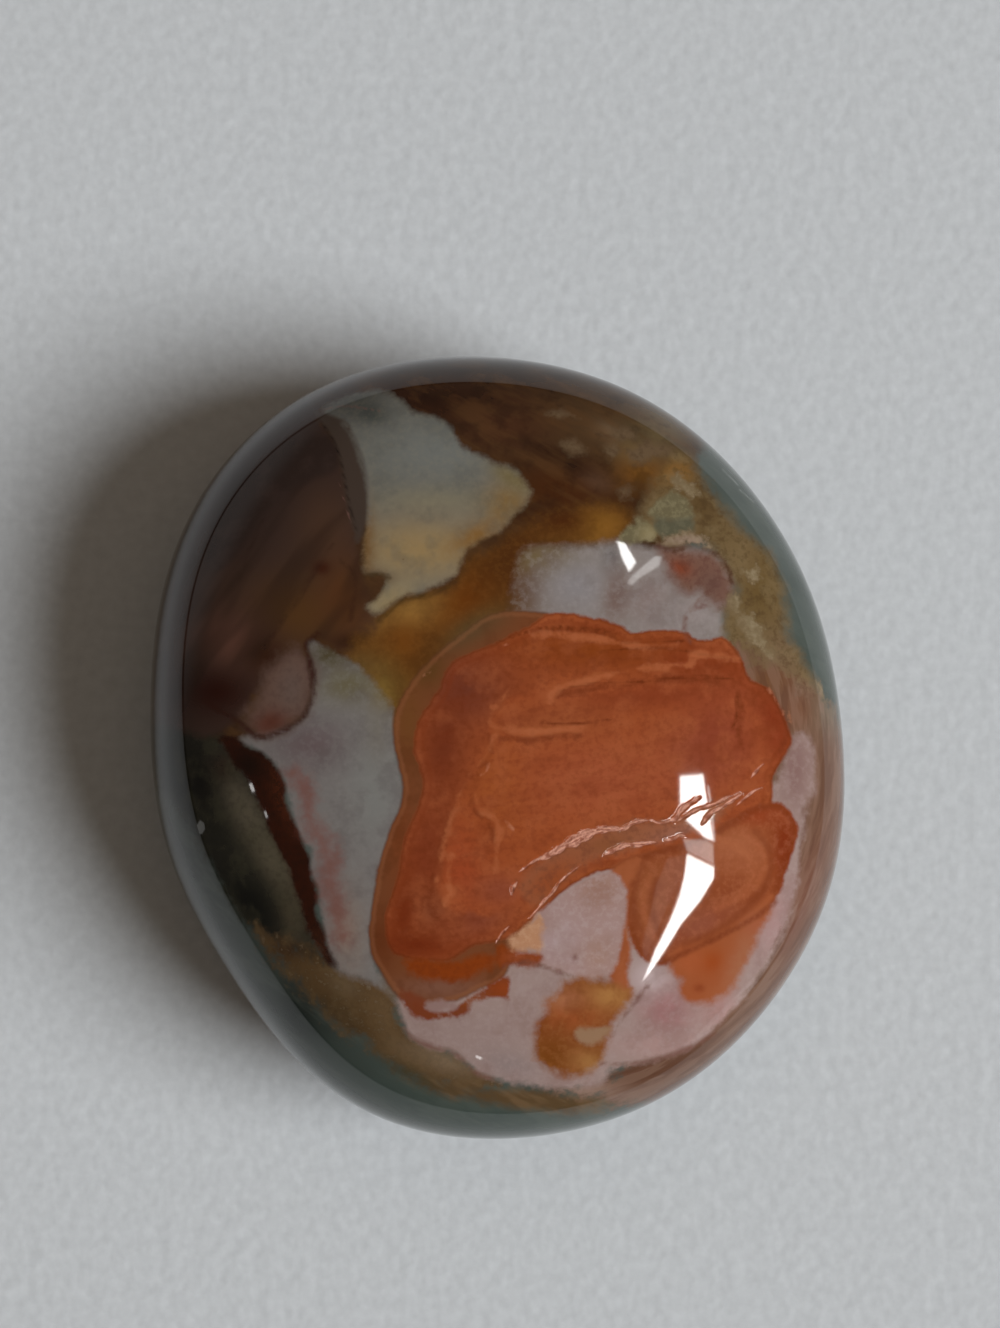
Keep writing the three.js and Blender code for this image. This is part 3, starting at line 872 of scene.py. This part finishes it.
                    ((549, 703), (552, 694), (562, 687), (580, 682), (604, 676), (630, 670), (660, 666),
                     (692, 664)),
                    ((533, 634), (556, 634), (580, 637), (604, 639), (626, 645), (650, 646), (676, 645)),
                    ((476, 788), (476, 802), (484, 814), (495, 818), (499, 826), (497, 850), (496, 872)),
                    ((690, 653), (715, 656), (738, 660)),
                    ((444, 905), (450, 892), (448, 874), (452, 856)))),
        line("lobeShade", (108, 46, 20), 0.55, width=0.5, edge=0.45, wobble=0.5,
             paths=(((756, 832), (768, 850), (770, 872), (758, 896), (738, 916), (714, 932), (686, 944)),
                    ((642, 866), (634, 886), (635, 912), (644, 936), (658, 956)),
                    ((656, 880), (650, 902), (654, 924), (664, 944)))),
        line("lobeLight", (172, 100, 64), 0.4, width=0.5, edge=0.5, wobble=0.5,
             paths=(((716, 838), (738, 846), (752, 862), (752, 882), (738, 898), (716, 908)),
                    ((650, 878), (644, 898), (646, 918), (654, 938)),
                    ((740, 832), (762, 850), (764, 870), (756, 886)))),
        line("lobeEdge", (108, 46, 22), 0.75, width=0.4, edge=0.3, wobble=0.15,
             paths=(((776, 901), (760, 914), (740, 926), (710, 941), (684, 953), (666, 963)),
                    ((767, 690), (780, 710), (787, 735), (780, 752)))),
        line("lightFlecks", (190, 126, 94), 0.6, width=0.16, edge=0.16, wobble=0.3,
             paths=(((489, 764), (486, 771), (480, 776)),
                    ((503, 646), (509, 644), (511, 640)),
                    ((505, 820), (514, 830)),
                    ((430, 672), (423, 677)),
                    ((788, 712), (792, 724)),
                    ((768, 688), (778, 704), (787, 720)))),
        line("lilacLines", (104, 66, 54), 0.7, width=0.28, edge=0.25, wobble=0.3,
             paths=(((505, 966), (530, 963), (550, 969), (574, 977)),
                    ((402, 1020), (407, 1032), (418, 1041), (432, 1047), (452, 1051), (464, 1061),
                     (476, 1073), (494, 1079)),
                    ((648, 984), (636, 1002), (624, 1016), (612, 1036)),
                    ((686, 618), (684, 632), (690, 642)),
                    ((704, 606), (690, 610), (700, 600)),
                    ((600, 1064), (640, 1062), (680, 1052), (715, 1034)))),
        line("veinBlush", (120, 66, 54), 0.62, width=1.5, edge=1.1, wobble=1.2,
             paths=(((296, 776), (306, 794), (310, 816), (320, 840), (330, 862), (331, 886), (337, 912),
                     (341, 936)),)),
        line("darkRedLine", (46, 18, 9), 0.85, width=0.34, edge=0.3, wobble=0.3,
             paths=(((318, 634), (306, 645), (311, 665), (313, 690), (307, 711), (298, 722), (280, 732),
                     (262, 738), (250, 731), (240, 722)),
                    ((240, 722), (222, 712), (205, 700)))),
        line("greySeam", (106, 104, 97), 0.55, width=0.4, edge=0.28, wobble=0.25,
             paths=(((343, 424), (352, 436), (359, 453), (365, 475), (369, 500), (369, 524)),)),
        line("thinDark", (26, 16, 12), 0.9, width=0.2, edge=0.2, wobble=0.06,
             paths=(((320, 421), (332, 438), (340, 458), (346, 488), (351, 512), (357, 530)),)),
        # Its first path is a pale line along the thin dark vein's edge: a painted highlight
        line("thinPinkWithPaintedHighlight", (120, 84, 74), 0.7, width=0.1, edge=0.12, wobble=0.1,
             paths=(((339, 482), (344, 500), (349, 516), (352, 528)),
                    ((322, 410), (345, 406), (380, 411)))),
        line("oliveLine", (60, 42, 16), 0.8, width=0.24, edge=0.25, wobble=0.35,
             paths=(((378, 622), (390, 610), (400, 601), (415, 597), (430, 594), (443, 590), (455, 582)),
                    ((366, 576), (380, 574), (390, 578)))),
        line("patchEdge", (66, 32, 20), 0.75, width=0.26, edge=0.28, wobble=0.4,
             paths=(((655, 546), (672, 549), (690, 547), (704, 549), (716, 555), (727, 568), (733, 585)),)),
        line("slantLines", (40, 22, 12), 0.5, width=0.22, edge=0.26, wobble=0.3,
             paths=(((332, 545), (318, 565), (300, 598), (282, 622), (264, 648)),
                    ((262, 520), (251, 548), (240, 578)),
                    ((340, 560), (356, 580), (350, 620)))),
        line("ringMark", (78, 56, 30), 0.8, width=0.05, edge=0.08, wobble=0.04,
             paths=(((398, 554), (402, 552), (405, 556), (403, 560)),)),
        line("greenStreaks", (160, 164, 158), 0.5, width=0.06, edge=0.12, wobble=0.05,
             paths=(((722, 469), (738, 485)),
                    ((740, 490), (755, 503)))),
    ),
}


def unrolled(points, normals):
    # Each point's place in the photo. Beyond the outline it goes on outwards as far as it is down the side.
    places = toPixels(points)
    middle = np.array(photoView["stoneAt"], dtype=float)
    away = places - middle
    radius = np.hypot(away[:, 0], away[:, 1])
    angle = np.arctan2(away[:, 1], away[:, 0])
    seen = ((lens["place"] - points) * normals).sum(axis=1) > 0
    sectors, blurReach, blurWidth = 360, 8, 3.0  # round the outline
    sector = ((angle + math.pi) / (2 * math.pi) * sectors).astype(int) % sectors
    outline = np.zeros(sectors)
    outlineHeight = np.zeros(sectors)
    for index in np.argsort(radius):
        outline[sector[index]] = radius[index]
        outlineHeight[sector[index]] = points[index, 2]
    blur = np.exp(-(np.arange(-blurReach, blurReach + 1) / blurWidth) ** 2)
    blur /= blur.sum()
    around = np.concatenate([outlineHeight[-blurReach:], outlineHeight, outlineHeight[:blurReach]])
    outlineHeight = np.convolve(around, blur, "valid")
    centres = (np.arange(-1, sectors + 1) + 0.5) / sectors * 2 * math.pi - math.pi
    edge, height = (np.interp(angle, centres, np.concatenate([ring[-1:], ring, ring[:1]]))
                    for ring in (outline, outlineHeight))
    drop = np.hypot((height - points[:, 2]) / lens["pixelSize"], edge - radius)
    radius = np.where(seen, radius, edge + drop)
    return middle + np.stack([np.cos(angle), np.sin(angle)], axis=1) * radius[:, None], angle, radius


places, angle, radius = unrolled(polishedPoints, normals)


def toLinear(colour):
    shares = np.array(colour) / 255
    return np.where(shares > 0.04045, ((shares + 0.055) / 1.055) ** 2.4, shares / 12.92)


def zoneDepth(outlines, sharp):
    # How far inside the outlines each point is, in mm.
    depth = np.full(len(places), farOutside)
    for corners in outlines:
        loop = smoothPath(corners, True, 1 if sharp else 4)
        near = nearPath(places, loop)
        gap = distanceTo(places[near], loop) * pixelMm
        depth[near] = np.maximum(depth[near], np.where(isInside(places[near], loop), gap, -gap))
    return np.maximum(depth, farOutside)


def lineDepth(paths, width):
    depth = np.full(len(places), farOutside)
    for corners in paths:
        path = smoothPath(corners, False)
        near = nearPath(places, path)
        depth[near] = np.maximum(depth[near], width / 2 - distanceTo(places[near], path) * pixelMm)
    return np.maximum(depth, farOutside)


def spottedColour(base, spots):
    colours = np.tile(toLinear(base), (len(places), 1))
    for spot in spots:
        turn = math.radians(spot["turn"])
        away = places - spot["at"]
        along = away[:, 0] * math.cos(turn) + away[:, 1] * math.sin(turn)
        across = away[:, 1] * math.cos(turn) - away[:, 0] * math.sin(turn)
        weight = np.exp(-((along / spot["size"][0]) ** 2) - (across / spot["size"][1]) ** 2)[:, None]
        colours += (toLinear(spot["colour"]) - colours) * weight
    return colours


def keepValues(name, values):
    attribute = stoneData.attributes.new(name, "FLOAT", "POINT")
    attribute.data.foreach_set("value", values.astype(np.float32))


def keepColours(name, colours):
    attribute = stoneData.attributes.new(name, "FLOAT_COLOR", "POINT")
    solid = np.concatenate([colours, np.ones((len(colours), 1))], axis=1)
    attribute.data.foreach_set("color", solid.ravel().astype(np.float32))


def keepVectors(name, vectors):
    attribute = stoneData.attributes.new(name, "FLOAT_VECTOR", "POINT")
    attribute.data.foreach_set("vector", vectors.ravel().astype(np.float32))


# Polished jasper

jasperLook = {
    "polish": 0.035,  # roughness
    "crackRoughness": 0.5,
    "crackColoursLitAndShaded": ((206, 148, 126), (146, 84, 62)),  # pinkish, with painted highlight on the ridges and painted shade in the hollows between them
    "crackWobble": 0.12,  # mm
    "crackEdge": (-0.06, 0.1),
    "ridgeRange": (-0.35, 0.35),
    "ior": 1.54,
    "noises": {  # features per metre, detail, roughness, stretch along the local axes, degrees round Z
        "field": {"scale": 62, "detail": 3.5, "roughness": 0.48, "stretch": (0.8, 1.2, 1), "turn": 25},
        "broad": {"scale": 130, "detail": 2.0, "roughness": 0.5, "stretch": (1, 1, 1), "turn": 0},
        "cloud": {"scale": 430, "detail": 3.0, "roughness": 0.6, "stretch": (1, 1, 1), "turn": 0},
        "fine": {"scale": 1700, "detail": 3.0, "roughness": 0.6, "stretch": (1, 1, 1), "turn": 0},
        "streak": {"scale": 330, "detail": 3.0, "roughness": 0.65, "stretch": (0.35, 1.6, 1), "turn": -30},
        "grit": {"scale": 5200, "detail": 2.0, "roughness": 0.6, "stretch": (1, 1, 1), "turn": 0},
        "slant": {"scale": 260, "detail": 2.0, "roughness": 0.5, "stretch": (0.25, 1.5, 1), "turn": 52},
        "strata": {"scale": 460, "detail": 3.0, "roughness": 0.65, "stretch": (0.35, 1.6, 1), "turn": 12},
    },
    "edgeShares": {"cloud": 2.4, "fine": 1.2, "grit": 0.3},  # of the noises that roughen the zones' edges
    "edgeMiddle": 1.95,
    "rimStreak": {"scale": 1.0, "detail": 3.0, "roughness": 0.55, "aroundScale": 5.0, "downScale": 1.3},
    "underside": {
        "starts": 7.5,  # mm below the girth
        "fade": 1.5,
        "colour": (66, 75, 69),
        "patches": (
            {"noise": "field", "from": 0.5, "to": 0.51, "colour": (62, 42, 26), "amount": 1.0},
            {"noise": "field", "from": 0.52, "to": 0.54, "colour": (124, 112, 105), "amount": 1.0},
            {"noise": "field", "from": 0.58, "to": 0.62, "colour": (132, 106, 94), "amount": 0.8},
            {"noise": "field", "from": 0.46, "to": 0.455, "colour": (72, 36, 18), "amount": 1.0},
            {"noise": "field", "from": 0.452, "to": 0.447, "colour": (134, 68, 36), "amount": 1.0},
            {"noise": "field", "from": 0.42, "to": 0.38, "colour": (150, 84, 48), "amount": 0.8},
            {"noise": "cloud", "from": 0.44, "to": 0.68, "colour": (88, 66, 48), "amount": 0.3},
            {"noise": "broad", "from": 0.5, "to": 0.62, "colour": (52, 54, 46), "amount": 0.4},
        ),
    },
}

jasper = bpy.data.materials.new("polychromeJasper")
jasper.use_nodes = True
tree = jasper.node_tree
shader = tree.nodes["Principled BSDF"]
stoneData.materials.append(jasper)


def addNode(kind, **settings):
    node = tree.nodes.new(kind)
    for name, value in settings.items():
        setattr(node, name, value)
    return node


def feed(socket, value):
    if isinstance(value, bpy.types.NodeSocket):
        tree.links.new(value, socket)
    else:
        socket.default_value = value


def calculate(operation, *values):
    node = addNode("ShaderNodeMath", operation=operation)
    for socket, value in zip(node.inputs, values):
        feed(socket, value)
    return node.outputs[0]


def ramp(value, start, end, low=0.0, high=1.0):
    node = addNode("ShaderNodeMapRange", interpolation_type="SMOOTHSTEP")
    for socket, given in zip(node.inputs, (value, start, end, low, high)):
        feed(socket, given)
    return node.outputs[0]


def rampEither(value, start, end, high):
    # A ramp that also runs downwards, when it starts above its end.
    if start < end:
        return ramp(value, start, end, 0.0, high)
    return ramp(value, end, start, high, 0.0)


def mixColour(share, below, above):
    # A colour mix takes its share at socket 0 and its two colours at 6 and 7.
    node = addNode("ShaderNodeMix", data_type="RGBA")
    feed(node.inputs[0], share)
    feed(node.inputs[6], below)
    feed(node.inputs[7], above)
    return node.outputs[2]


def solid(colour):
    return (*toLinear(colour), 1.0)


def readAttribute(name, output="Fac"):
    node = addNode("ShaderNodeAttribute", attribute_name=name)
    return node.outputs[output]


def addNoises(look):
    place = addNode("ShaderNodeTexCoord").outputs["Object"]
    noises = {}
    for name, noise in look["noises"].items():
        mapping = addNode("ShaderNodeMapping", vector_type="TEXTURE")
        feed(mapping.inputs["Vector"], place)
        mapping.inputs["Rotation"].default_value = (0, 0, math.radians(noise["turn"]))
        mapping.inputs["Scale"].default_value = tuple(1 / stretch for stretch in noise["stretch"])
        node = addNode("ShaderNodeTexNoise")
        feed(node.inputs["Vector"], mapping.outputs[0])
        node.inputs["Scale"].default_value = noise["scale"]
        node.inputs["Detail"].default_value = noise["detail"]
        node.inputs["Roughness"].default_value = noise["roughness"]
        noises[name] = node.outputs["Fac"]
    rim = look["rimStreak"]
    node = addNode("ShaderNodeTexNoise")
    feed(node.inputs["Vector"], readAttribute("rimPlace", "Vector"))
    node.inputs["Scale"].default_value = rim["scale"]
    node.inputs["Detail"].default_value = rim["detail"]
    node.inputs["Roughness"].default_value = rim["roughness"]
    noises["rimStreak"] = node.outputs["Fac"]
    edge = -look["edgeMiddle"]
    for name, share in look["edgeShares"].items():
        edge = calculate("MULTIPLY_ADD", noises[name], share, edge)
    noises["edge"] = edge
    return noises


def mottle(colour, mottles, noises):
    for each in mottles:
        share = rampEither(noises[each["noise"]], each["from"], each["to"], each["amount"])
        colour = mixColour(share, colour, solid(each["colour"]))
    return colour


def paintZone(below, zone, noises):
    name = zone["name"]
    keepValues(name, zoneDepth(zone["outlines"], zone["sharp"]))
    depth = calculate("MULTIPLY_ADD", noises["edge"], zone["wobble"], readAttribute(name))
    share = ramp(depth, -zone["edge"], zone["edge"])
    if zone["spots"]:
        keepColours(name + "Colour", spottedColour(zone["colour"], zone["spots"]))
        colour = readAttribute(name + "Colour", "Color")
    else:
        colour = solid(zone["colour"])
    colour = mottle(colour, zone["mottles"], noises)
    for band in zone["bands"]:
        gap = calculate("ABSOLUTE", calculate("SUBTRACT", depth, band["at"]))
        amount = ramp(gap, 0.0, band["width"], band["amount"], 0.0)
        colour = mixColour(amount, colour, solid(band["colour"]))
    return mixColour(share, below, colour)


def paintLines(below, group, noises):
    keepValues(group["name"], lineDepth(group["paths"], group["width"]))
    depth = calculate("MULTIPLY_ADD", noises["edge"], group["wobble"], readAttribute(group["name"]))
    amount = ramp(depth, -group["edge"], group["edge"], 0.0, group["amount"])
    return mixColour(amount, below, solid(group["colour"]))


def paintUnderside(below, look, noises):
    keepValues("belowGirth", stoneForm["girthHeight"] - polishedPoints[:, 2] / mm)
    colour = mottle(solid(look["colour"]), look["patches"], noises)
    colour = mottle(colour, markings["ground"]["mottles"][1:], noises)
    down = calculate("MULTIPLY_ADD", noises["edge"], look["fade"], readAttribute("belowGirth"))
    share = ramp(down, look["starts"] - look["fade"], look["starts"] + look["fade"])
    return mixColour(share, below, colour)


def paintStone():
    rim = jasperLook["rimStreak"]
    around = np.stack([np.cos(angle), np.sin(angle)], axis=1) * rim["aroundScale"]
    keepVectors("rimPlace", np.concatenate([around, radius[:, None] * pixelMm * rim["downScale"]], axis=1))
    noises = addNoises(jasperLook)
    ground = markings["ground"]
    keepColours("groundColour", spottedColour(ground["colour"], ground["spots"]))
    colour = mottle(readAttribute("groundColour", "Color"), ground["mottles"], noises)
    for zone in markings["zones"]:
        colour = paintZone(colour, zone, noises)
    print(f"{len(markings['zones'])} zones painted")
    for group in markings["lines"]:
        colour = paintLines(colour, group, noises)
    print(f"{len(markings['lines'])} groups of lines drawn")
    colour = paintUnderside(colour, jasperLook["underside"], noises)
    keepValues("inCrack", inCrack)
    keepValues("ridges", ridges)
    crackDepth = readAttribute("inCrack")
    crackGap = calculate("MULTIPLY_ADD", noises["edge"], jasperLook["crackWobble"], crackDepth)
    cracked = ramp(crackGap, *jasperLook["crackEdge"])
    # The cracks' pinkish colour goes lighter on the ridges and darker in the hollows: painted highlight and
    # painted shade on top of the sunk relief
    light, dark = jasperLook["crackColoursLitAndShaded"]
    ridge = ramp(readAttribute("ridges"), *jasperLook["ridgeRange"])
    crackColourWithPaintedShade = mixColour(ridge, solid(dark), solid(light))
    colour = mixColour(cracked, colour, crackColourWithPaintedShade)
    feed(shader.inputs["Base Color"], colour)
    roughness = ramp(cracked, 0.0, 1.0, jasperLook["polish"], jasperLook["crackRoughness"])
    feed(shader.inputs["Roughness"], roughness)
    shader.inputs["IOR"].default_value = jasperLook["ior"]


paintStone()

# Paper floor

floorLook = {
    "halfSide": 1.6,
    "colour": (214, 218, 220),
    "grainAmount": 0.12,
    "grainScale": 900,
    "grainDetail": 3.0,
    "dimpleScale": 650,
    "dimpleDetail": 1.0,
    "dimpleDepth": 0.0002,
    "dimpleStrength": 0.5,
    "roughness": 0.75,
    "specular": 0.2,
}


def makeFloor(look):
    half = look["halfSide"]
    data = bpy.data.meshes.new("paperFloor")
    corners = [(-half, -half, 0), (half, -half, 0), (half, half, 0), (-half, half, 0)]
    data.from_pydata(corners, [], [(0, 1, 2, 3)])
    floor = bpy.data.objects.new("paperFloor", data)
    bpy.context.scene.collection.objects.link(floor)
    material = bpy.data.materials.new("palePaper")
    material.use_nodes = True
    floorTree = material.node_tree
    floorShader = floorTree.nodes["Principled BSDF"]
    place = floorTree.nodes.new("ShaderNodeTexCoord")
    mix = floorTree.nodes.new("ShaderNodeMix")
    mix.data_type = "RGBA"
    grain = floorTree.nodes.new("ShaderNodeTexNoise")
    grain.inputs["Scale"].default_value = look["grainScale"]
    grain.inputs["Detail"].default_value = look["grainDetail"]
    floorTree.links.new(place.outputs["Object"], grain.inputs["Vector"])
    floorTree.links.new(grain.outputs["Fac"], mix.inputs[0])
    colour = toLinear(look["colour"])
    mix.inputs[6].default_value = (*(colour * (1 - look["grainAmount"])), 1)
    mix.inputs[7].default_value = (*(colour * (1 + look["grainAmount"])), 1)
    floorTree.links.new(mix.outputs[2], floorShader.inputs["Base Color"])
    dimples = floorTree.nodes.new("ShaderNodeTexNoise")
    dimples.inputs["Scale"].default_value = look["dimpleScale"]
    dimples.inputs["Detail"].default_value = look["dimpleDetail"]
    floorTree.links.new(place.outputs["Object"], dimples.inputs["Vector"])
    bump = floorTree.nodes.new("ShaderNodeBump")
    bump.inputs["Strength"].default_value = look["dimpleStrength"]
    bump.inputs["Distance"].default_value = look["dimpleDepth"]
    floorTree.links.new(dimples.outputs["Fac"], bump.inputs["Height"])
    floorTree.links.new(bump.outputs["Normal"], floorShader.inputs["Normal"])
    floorShader.inputs["Roughness"].default_value = look["roughness"]
    floorShader.inputs["Specular IOR Level"].default_value = look["specular"]
    data.materials.append(material)
    return floor


# Light: window panes stand where the photo shows their reflections in the polish

def pane(name, radiance, *corners):
    return {"name": name, "radiance": radiance, "corners": corners}


windowLight = {
    "distance": 0.9,  # metres from the stone to the plane that the panes stand in
    "paneColour": (1.0, 0.99, 0.97),
    "panes": (  # radiance, then the corners of the reflection in photo pixels
        pane("upperPane", 26.0,
             (680, 776), (703, 774), (707, 800), (713, 841), (704, 837), (686, 820), (680, 801)),
        pane("lowerPane", 26.0,
             (687, 854), (714, 867), (714, 878), (700, 901), (679, 897), (684, 878)),
        pane("lowerPaneEnd", 26.0,
             (679, 897), (700, 901), (681, 924), (662, 955), (643, 981), (655, 950), (669, 922)),
        pane("betweenPanes", 5.0,
             (683, 839), (706, 840), (713, 845), (714, 864), (687, 851)),
        pane("besidePane", 0.6,
             (683, 856), (679, 880), (668, 905), (655, 935), (645, 962), (642, 945), (650, 915), (656, 885),
             (668, 858)),
        pane("paneEdge", 9.0,
             (707, 786), (709, 786), (713, 812), (715, 842), (713, 842), (711, 812)),
        pane("lowPane", 0.8,
             (799, 901), (794, 919), (779, 951), (759, 980), (735, 1008), (716, 1026), (693, 1047),
             (690, 1041), (711, 1020), (730, 1002), (755, 975), (773, 947), (789, 914)),
        pane("leftGlint", 8.0, (249, 784), (252, 783), (255, 791), (252, 792)),
        pane("leftGlintLow", 6.0, (264, 812), (266, 811), (268, 817), (266, 818)),
        pane("lowGlint", 8.0, (476, 1055), (482, 1057), (481, 1060), (475, 1057)),
        pane("leftSpot", 0.8,
             (200, 820), (204, 823), (205, 829), (202, 834), (198, 834), (196, 827)),
        pane("smallPane", 22.0, (617, 541), (625, 543), (636, 562), (629, 572), (622, 558)),
        pane("dimPane", 5.0,
             (627, 583), (632, 576), (655, 556), (662, 557), (659, 566), (639, 578), (632, 585)),
    ),
    "key": {"azimuth": -16, "elevation": 44, "distance": 3.0, "size": 1.7, "power": 83.0,
            "colour": (0.98, 1.0, 1.03)},
    "overhead": {"azimuth": 60, "elevation": 80, "distance": 2.0, "size": 2.0, "power": 4.4,
                 "colour": (1.0, 0.82, 0.62)},
    "floorFill": {"azimuth": 60, "elevation": 80, "distance": 2.0, "size": 2.0, "power": 3.0,
                  "colour": (1.0, 0.72, 0.48)},
}


def reflectionFrom(pixel, tree):
    # The point of the stone seen at a pixel and the direction that is reflected there.
    width, height = photoView["frameSize"]
    x, y = (pixel[0] - width / 2) / lens["focal"], (height / 2 - pixel[1]) / lens["focal"]
    ray = Vector(lens["forward"] + x * lens["right"] + y * lens["up"]).normalized()
    place, _, face, _ = tree.ray_cast(Vector(lens["place"]), ray)
    corners = faces[face]
    weights = interpolate.poly_3d_calc([Vector(polishedPoints[i]) for i in corners], place)
    cornerNormals = [Vector(normals[i]) * weight for i, weight in zip(corners, weights)]
    return place, ray.reflect(sum(cornerNormals, Vector()).normalized())


def makePanes(look):
    surface = BVHTree.FromPolygons(polishedPoints.tolist(), faces)
    for pane in look["panes"]:
        seen = [reflectionFrom(corner, surface) for corner in pane["corners"]]
        middle = sum((toward for place, toward in seen), Vector()).normalized()
        corners = [place + toward * (look["distance"] / toward.dot(middle)) for place, toward in seen]
        azimuth, elevation = math.degrees(math.atan2(middle.y, middle.x)), math.degrees(math.asin(middle.z))
        print(f"{pane['name']}: azimuth {azimuth:.0f}, elevation {elevation:.0f}")
        data = bpy.data.meshes.new(pane["name"])
        data.from_pydata([tuple(corner) for corner in corners], [], [tuple(range(len(corners)))])
        material = bpy.data.materials.new(pane["name"] + "Light")
        material.use_nodes = True
        paneTree = material.node_tree
        paneTree.nodes.remove(paneTree.nodes["Principled BSDF"])
        glow = paneTree.nodes.new("ShaderNodeEmission")
        glow.inputs["Color"].default_value = (*look["paneColour"], 1)
        glow.inputs["Strength"].default_value = pane["radiance"]
        paneTree.links.new(glow.outputs[0], paneTree.nodes["Material Output"].inputs["Surface"])
        data.materials.append(material)
        window = bpy.data.objects.new(pane["name"], data)
        window.light_linking.receiver_collection = stoneOnly
        bpy.context.scene.collection.objects.link(window)


def directionTo(azimuth, elevation):
    a, e = math.radians(azimuth), math.radians(elevation)
    return Vector((math.cos(a) * math.cos(e), math.sin(a) * math.cos(e), math.sin(e)))


def areaLight(name, look):
    toward = directionTo(look["azimuth"], look["elevation"])
    data = bpy.data.lights.new(name, "AREA")
    data.shape = "DISK"
    data.size = look["size"]
    data.energy = look["power"]
    data.color = look["colour"]
    lamp = bpy.data.objects.new(name, data)
    lamp.location = toward * look["distance"]
    lamp.rotation_euler = toward.to_track_quat("Z", "Y").to_euler()
    lamp.visible_glossy = False
    bpy.context.scene.collection.objects.link(lamp)
    return lamp


stoneOnly = bpy.data.collections.new("stoneOnly")  # the panes and the fill leave the floor's shadow dark
stoneOnly.objects.link(stone)
floorOnly = bpy.data.collections.new("floorOnly")
floorOnly.objects.link(makeFloor(floorLook))
print("floor laid")
makePanes(windowLight)
areaLight("windowKey", windowLight["key"])
areaLight("overheadFill", windowLight["overhead"]).light_linking.receiver_collection = stoneOnly
areaLight("paperFill", windowLight["floorFill"]).light_linking.receiver_collection = floorOnly

roomLook = {
    "colour": (0.062, 0.056, 0.05),
    "dark": (0.012, 0.012, 0.012),
    "darkBelow": 1.6,  # degrees above the horizon, where the far floor meets a dark skirting
    "darkFade": (0.7, 1.3),  # as shares of that height: where the dark is full and where it has gone
    "wallAt": {"azimuth": 148, "elevation": -4},  # a paler part of the wall
    "wallColour": (0.27, 0.265, 0.26),
    "wallReach": (36.0, 18.0),  # degrees from its middle where it starts and where it is full
}


def makeRoom(look):
    world = bpy.data.worlds.new("dimRoom")
    bpy.context.scene.world = world
    world.use_nodes = True
    roomTree = world.node_tree
    direction = roomTree.nodes.new("ShaderNodeTexCoord").outputs["Generated"]
    wallDot = roomTree.nodes.new("ShaderNodeVectorMath")
    wallDot.operation = "DOT_PRODUCT"
    wallDot.inputs[1].default_value = directionTo(look["wallAt"]["azimuth"], look["wallAt"]["elevation"])
    roomTree.links.new(direction, wallDot.inputs[0])
    wallShare = roomTree.nodes.new("ShaderNodeMapRange")
    wallShare.interpolation_type = "SMOOTHSTEP"
    wallShare.inputs["From Min"].default_value = math.cos(math.radians(look["wallReach"][0]))
    wallShare.inputs["From Max"].default_value = math.cos(math.radians(look["wallReach"][1]))
    roomTree.links.new(wallDot.outputs["Value"], wallShare.inputs["Value"])
    wall = roomTree.nodes.new("ShaderNodeMix")
    wall.data_type = "RGBA"
    wall.inputs[6].default_value = (*look["colour"], 1)
    wall.inputs[7].default_value = (*look["wallColour"], 1)
    roomTree.links.new(wallShare.outputs["Result"], wall.inputs[0])
    parts = roomTree.nodes.new("ShaderNodeSeparateXYZ")
    roomTree.links.new(direction, parts.inputs[0])
    height = roomTree.nodes.new("ShaderNodeMapRange")
    sine = math.sin(math.radians(look["darkBelow"]))
    height.inputs["From Min"].default_value = sine * look["darkFade"][0]
    height.inputs["From Max"].default_value = sine * look["darkFade"][1]
    roomTree.links.new(parts.outputs["Z"], height.inputs["Value"])
    mix = roomTree.nodes.new("ShaderNodeMix")
    mix.data_type = "RGBA"
    mix.inputs[6].default_value = (*look["dark"], 1)
    roomTree.links.new(wall.outputs[2], mix.inputs[7])
    roomTree.links.new(height.outputs["Result"], mix.inputs[0])
    roomTree.links.new(mix.outputs[2], roomTree.nodes["Background"].inputs["Color"])


makeRoom(roomLook)
bpy.context.scene.view_settings.view_transform = "Standard"
print("lights and room set")
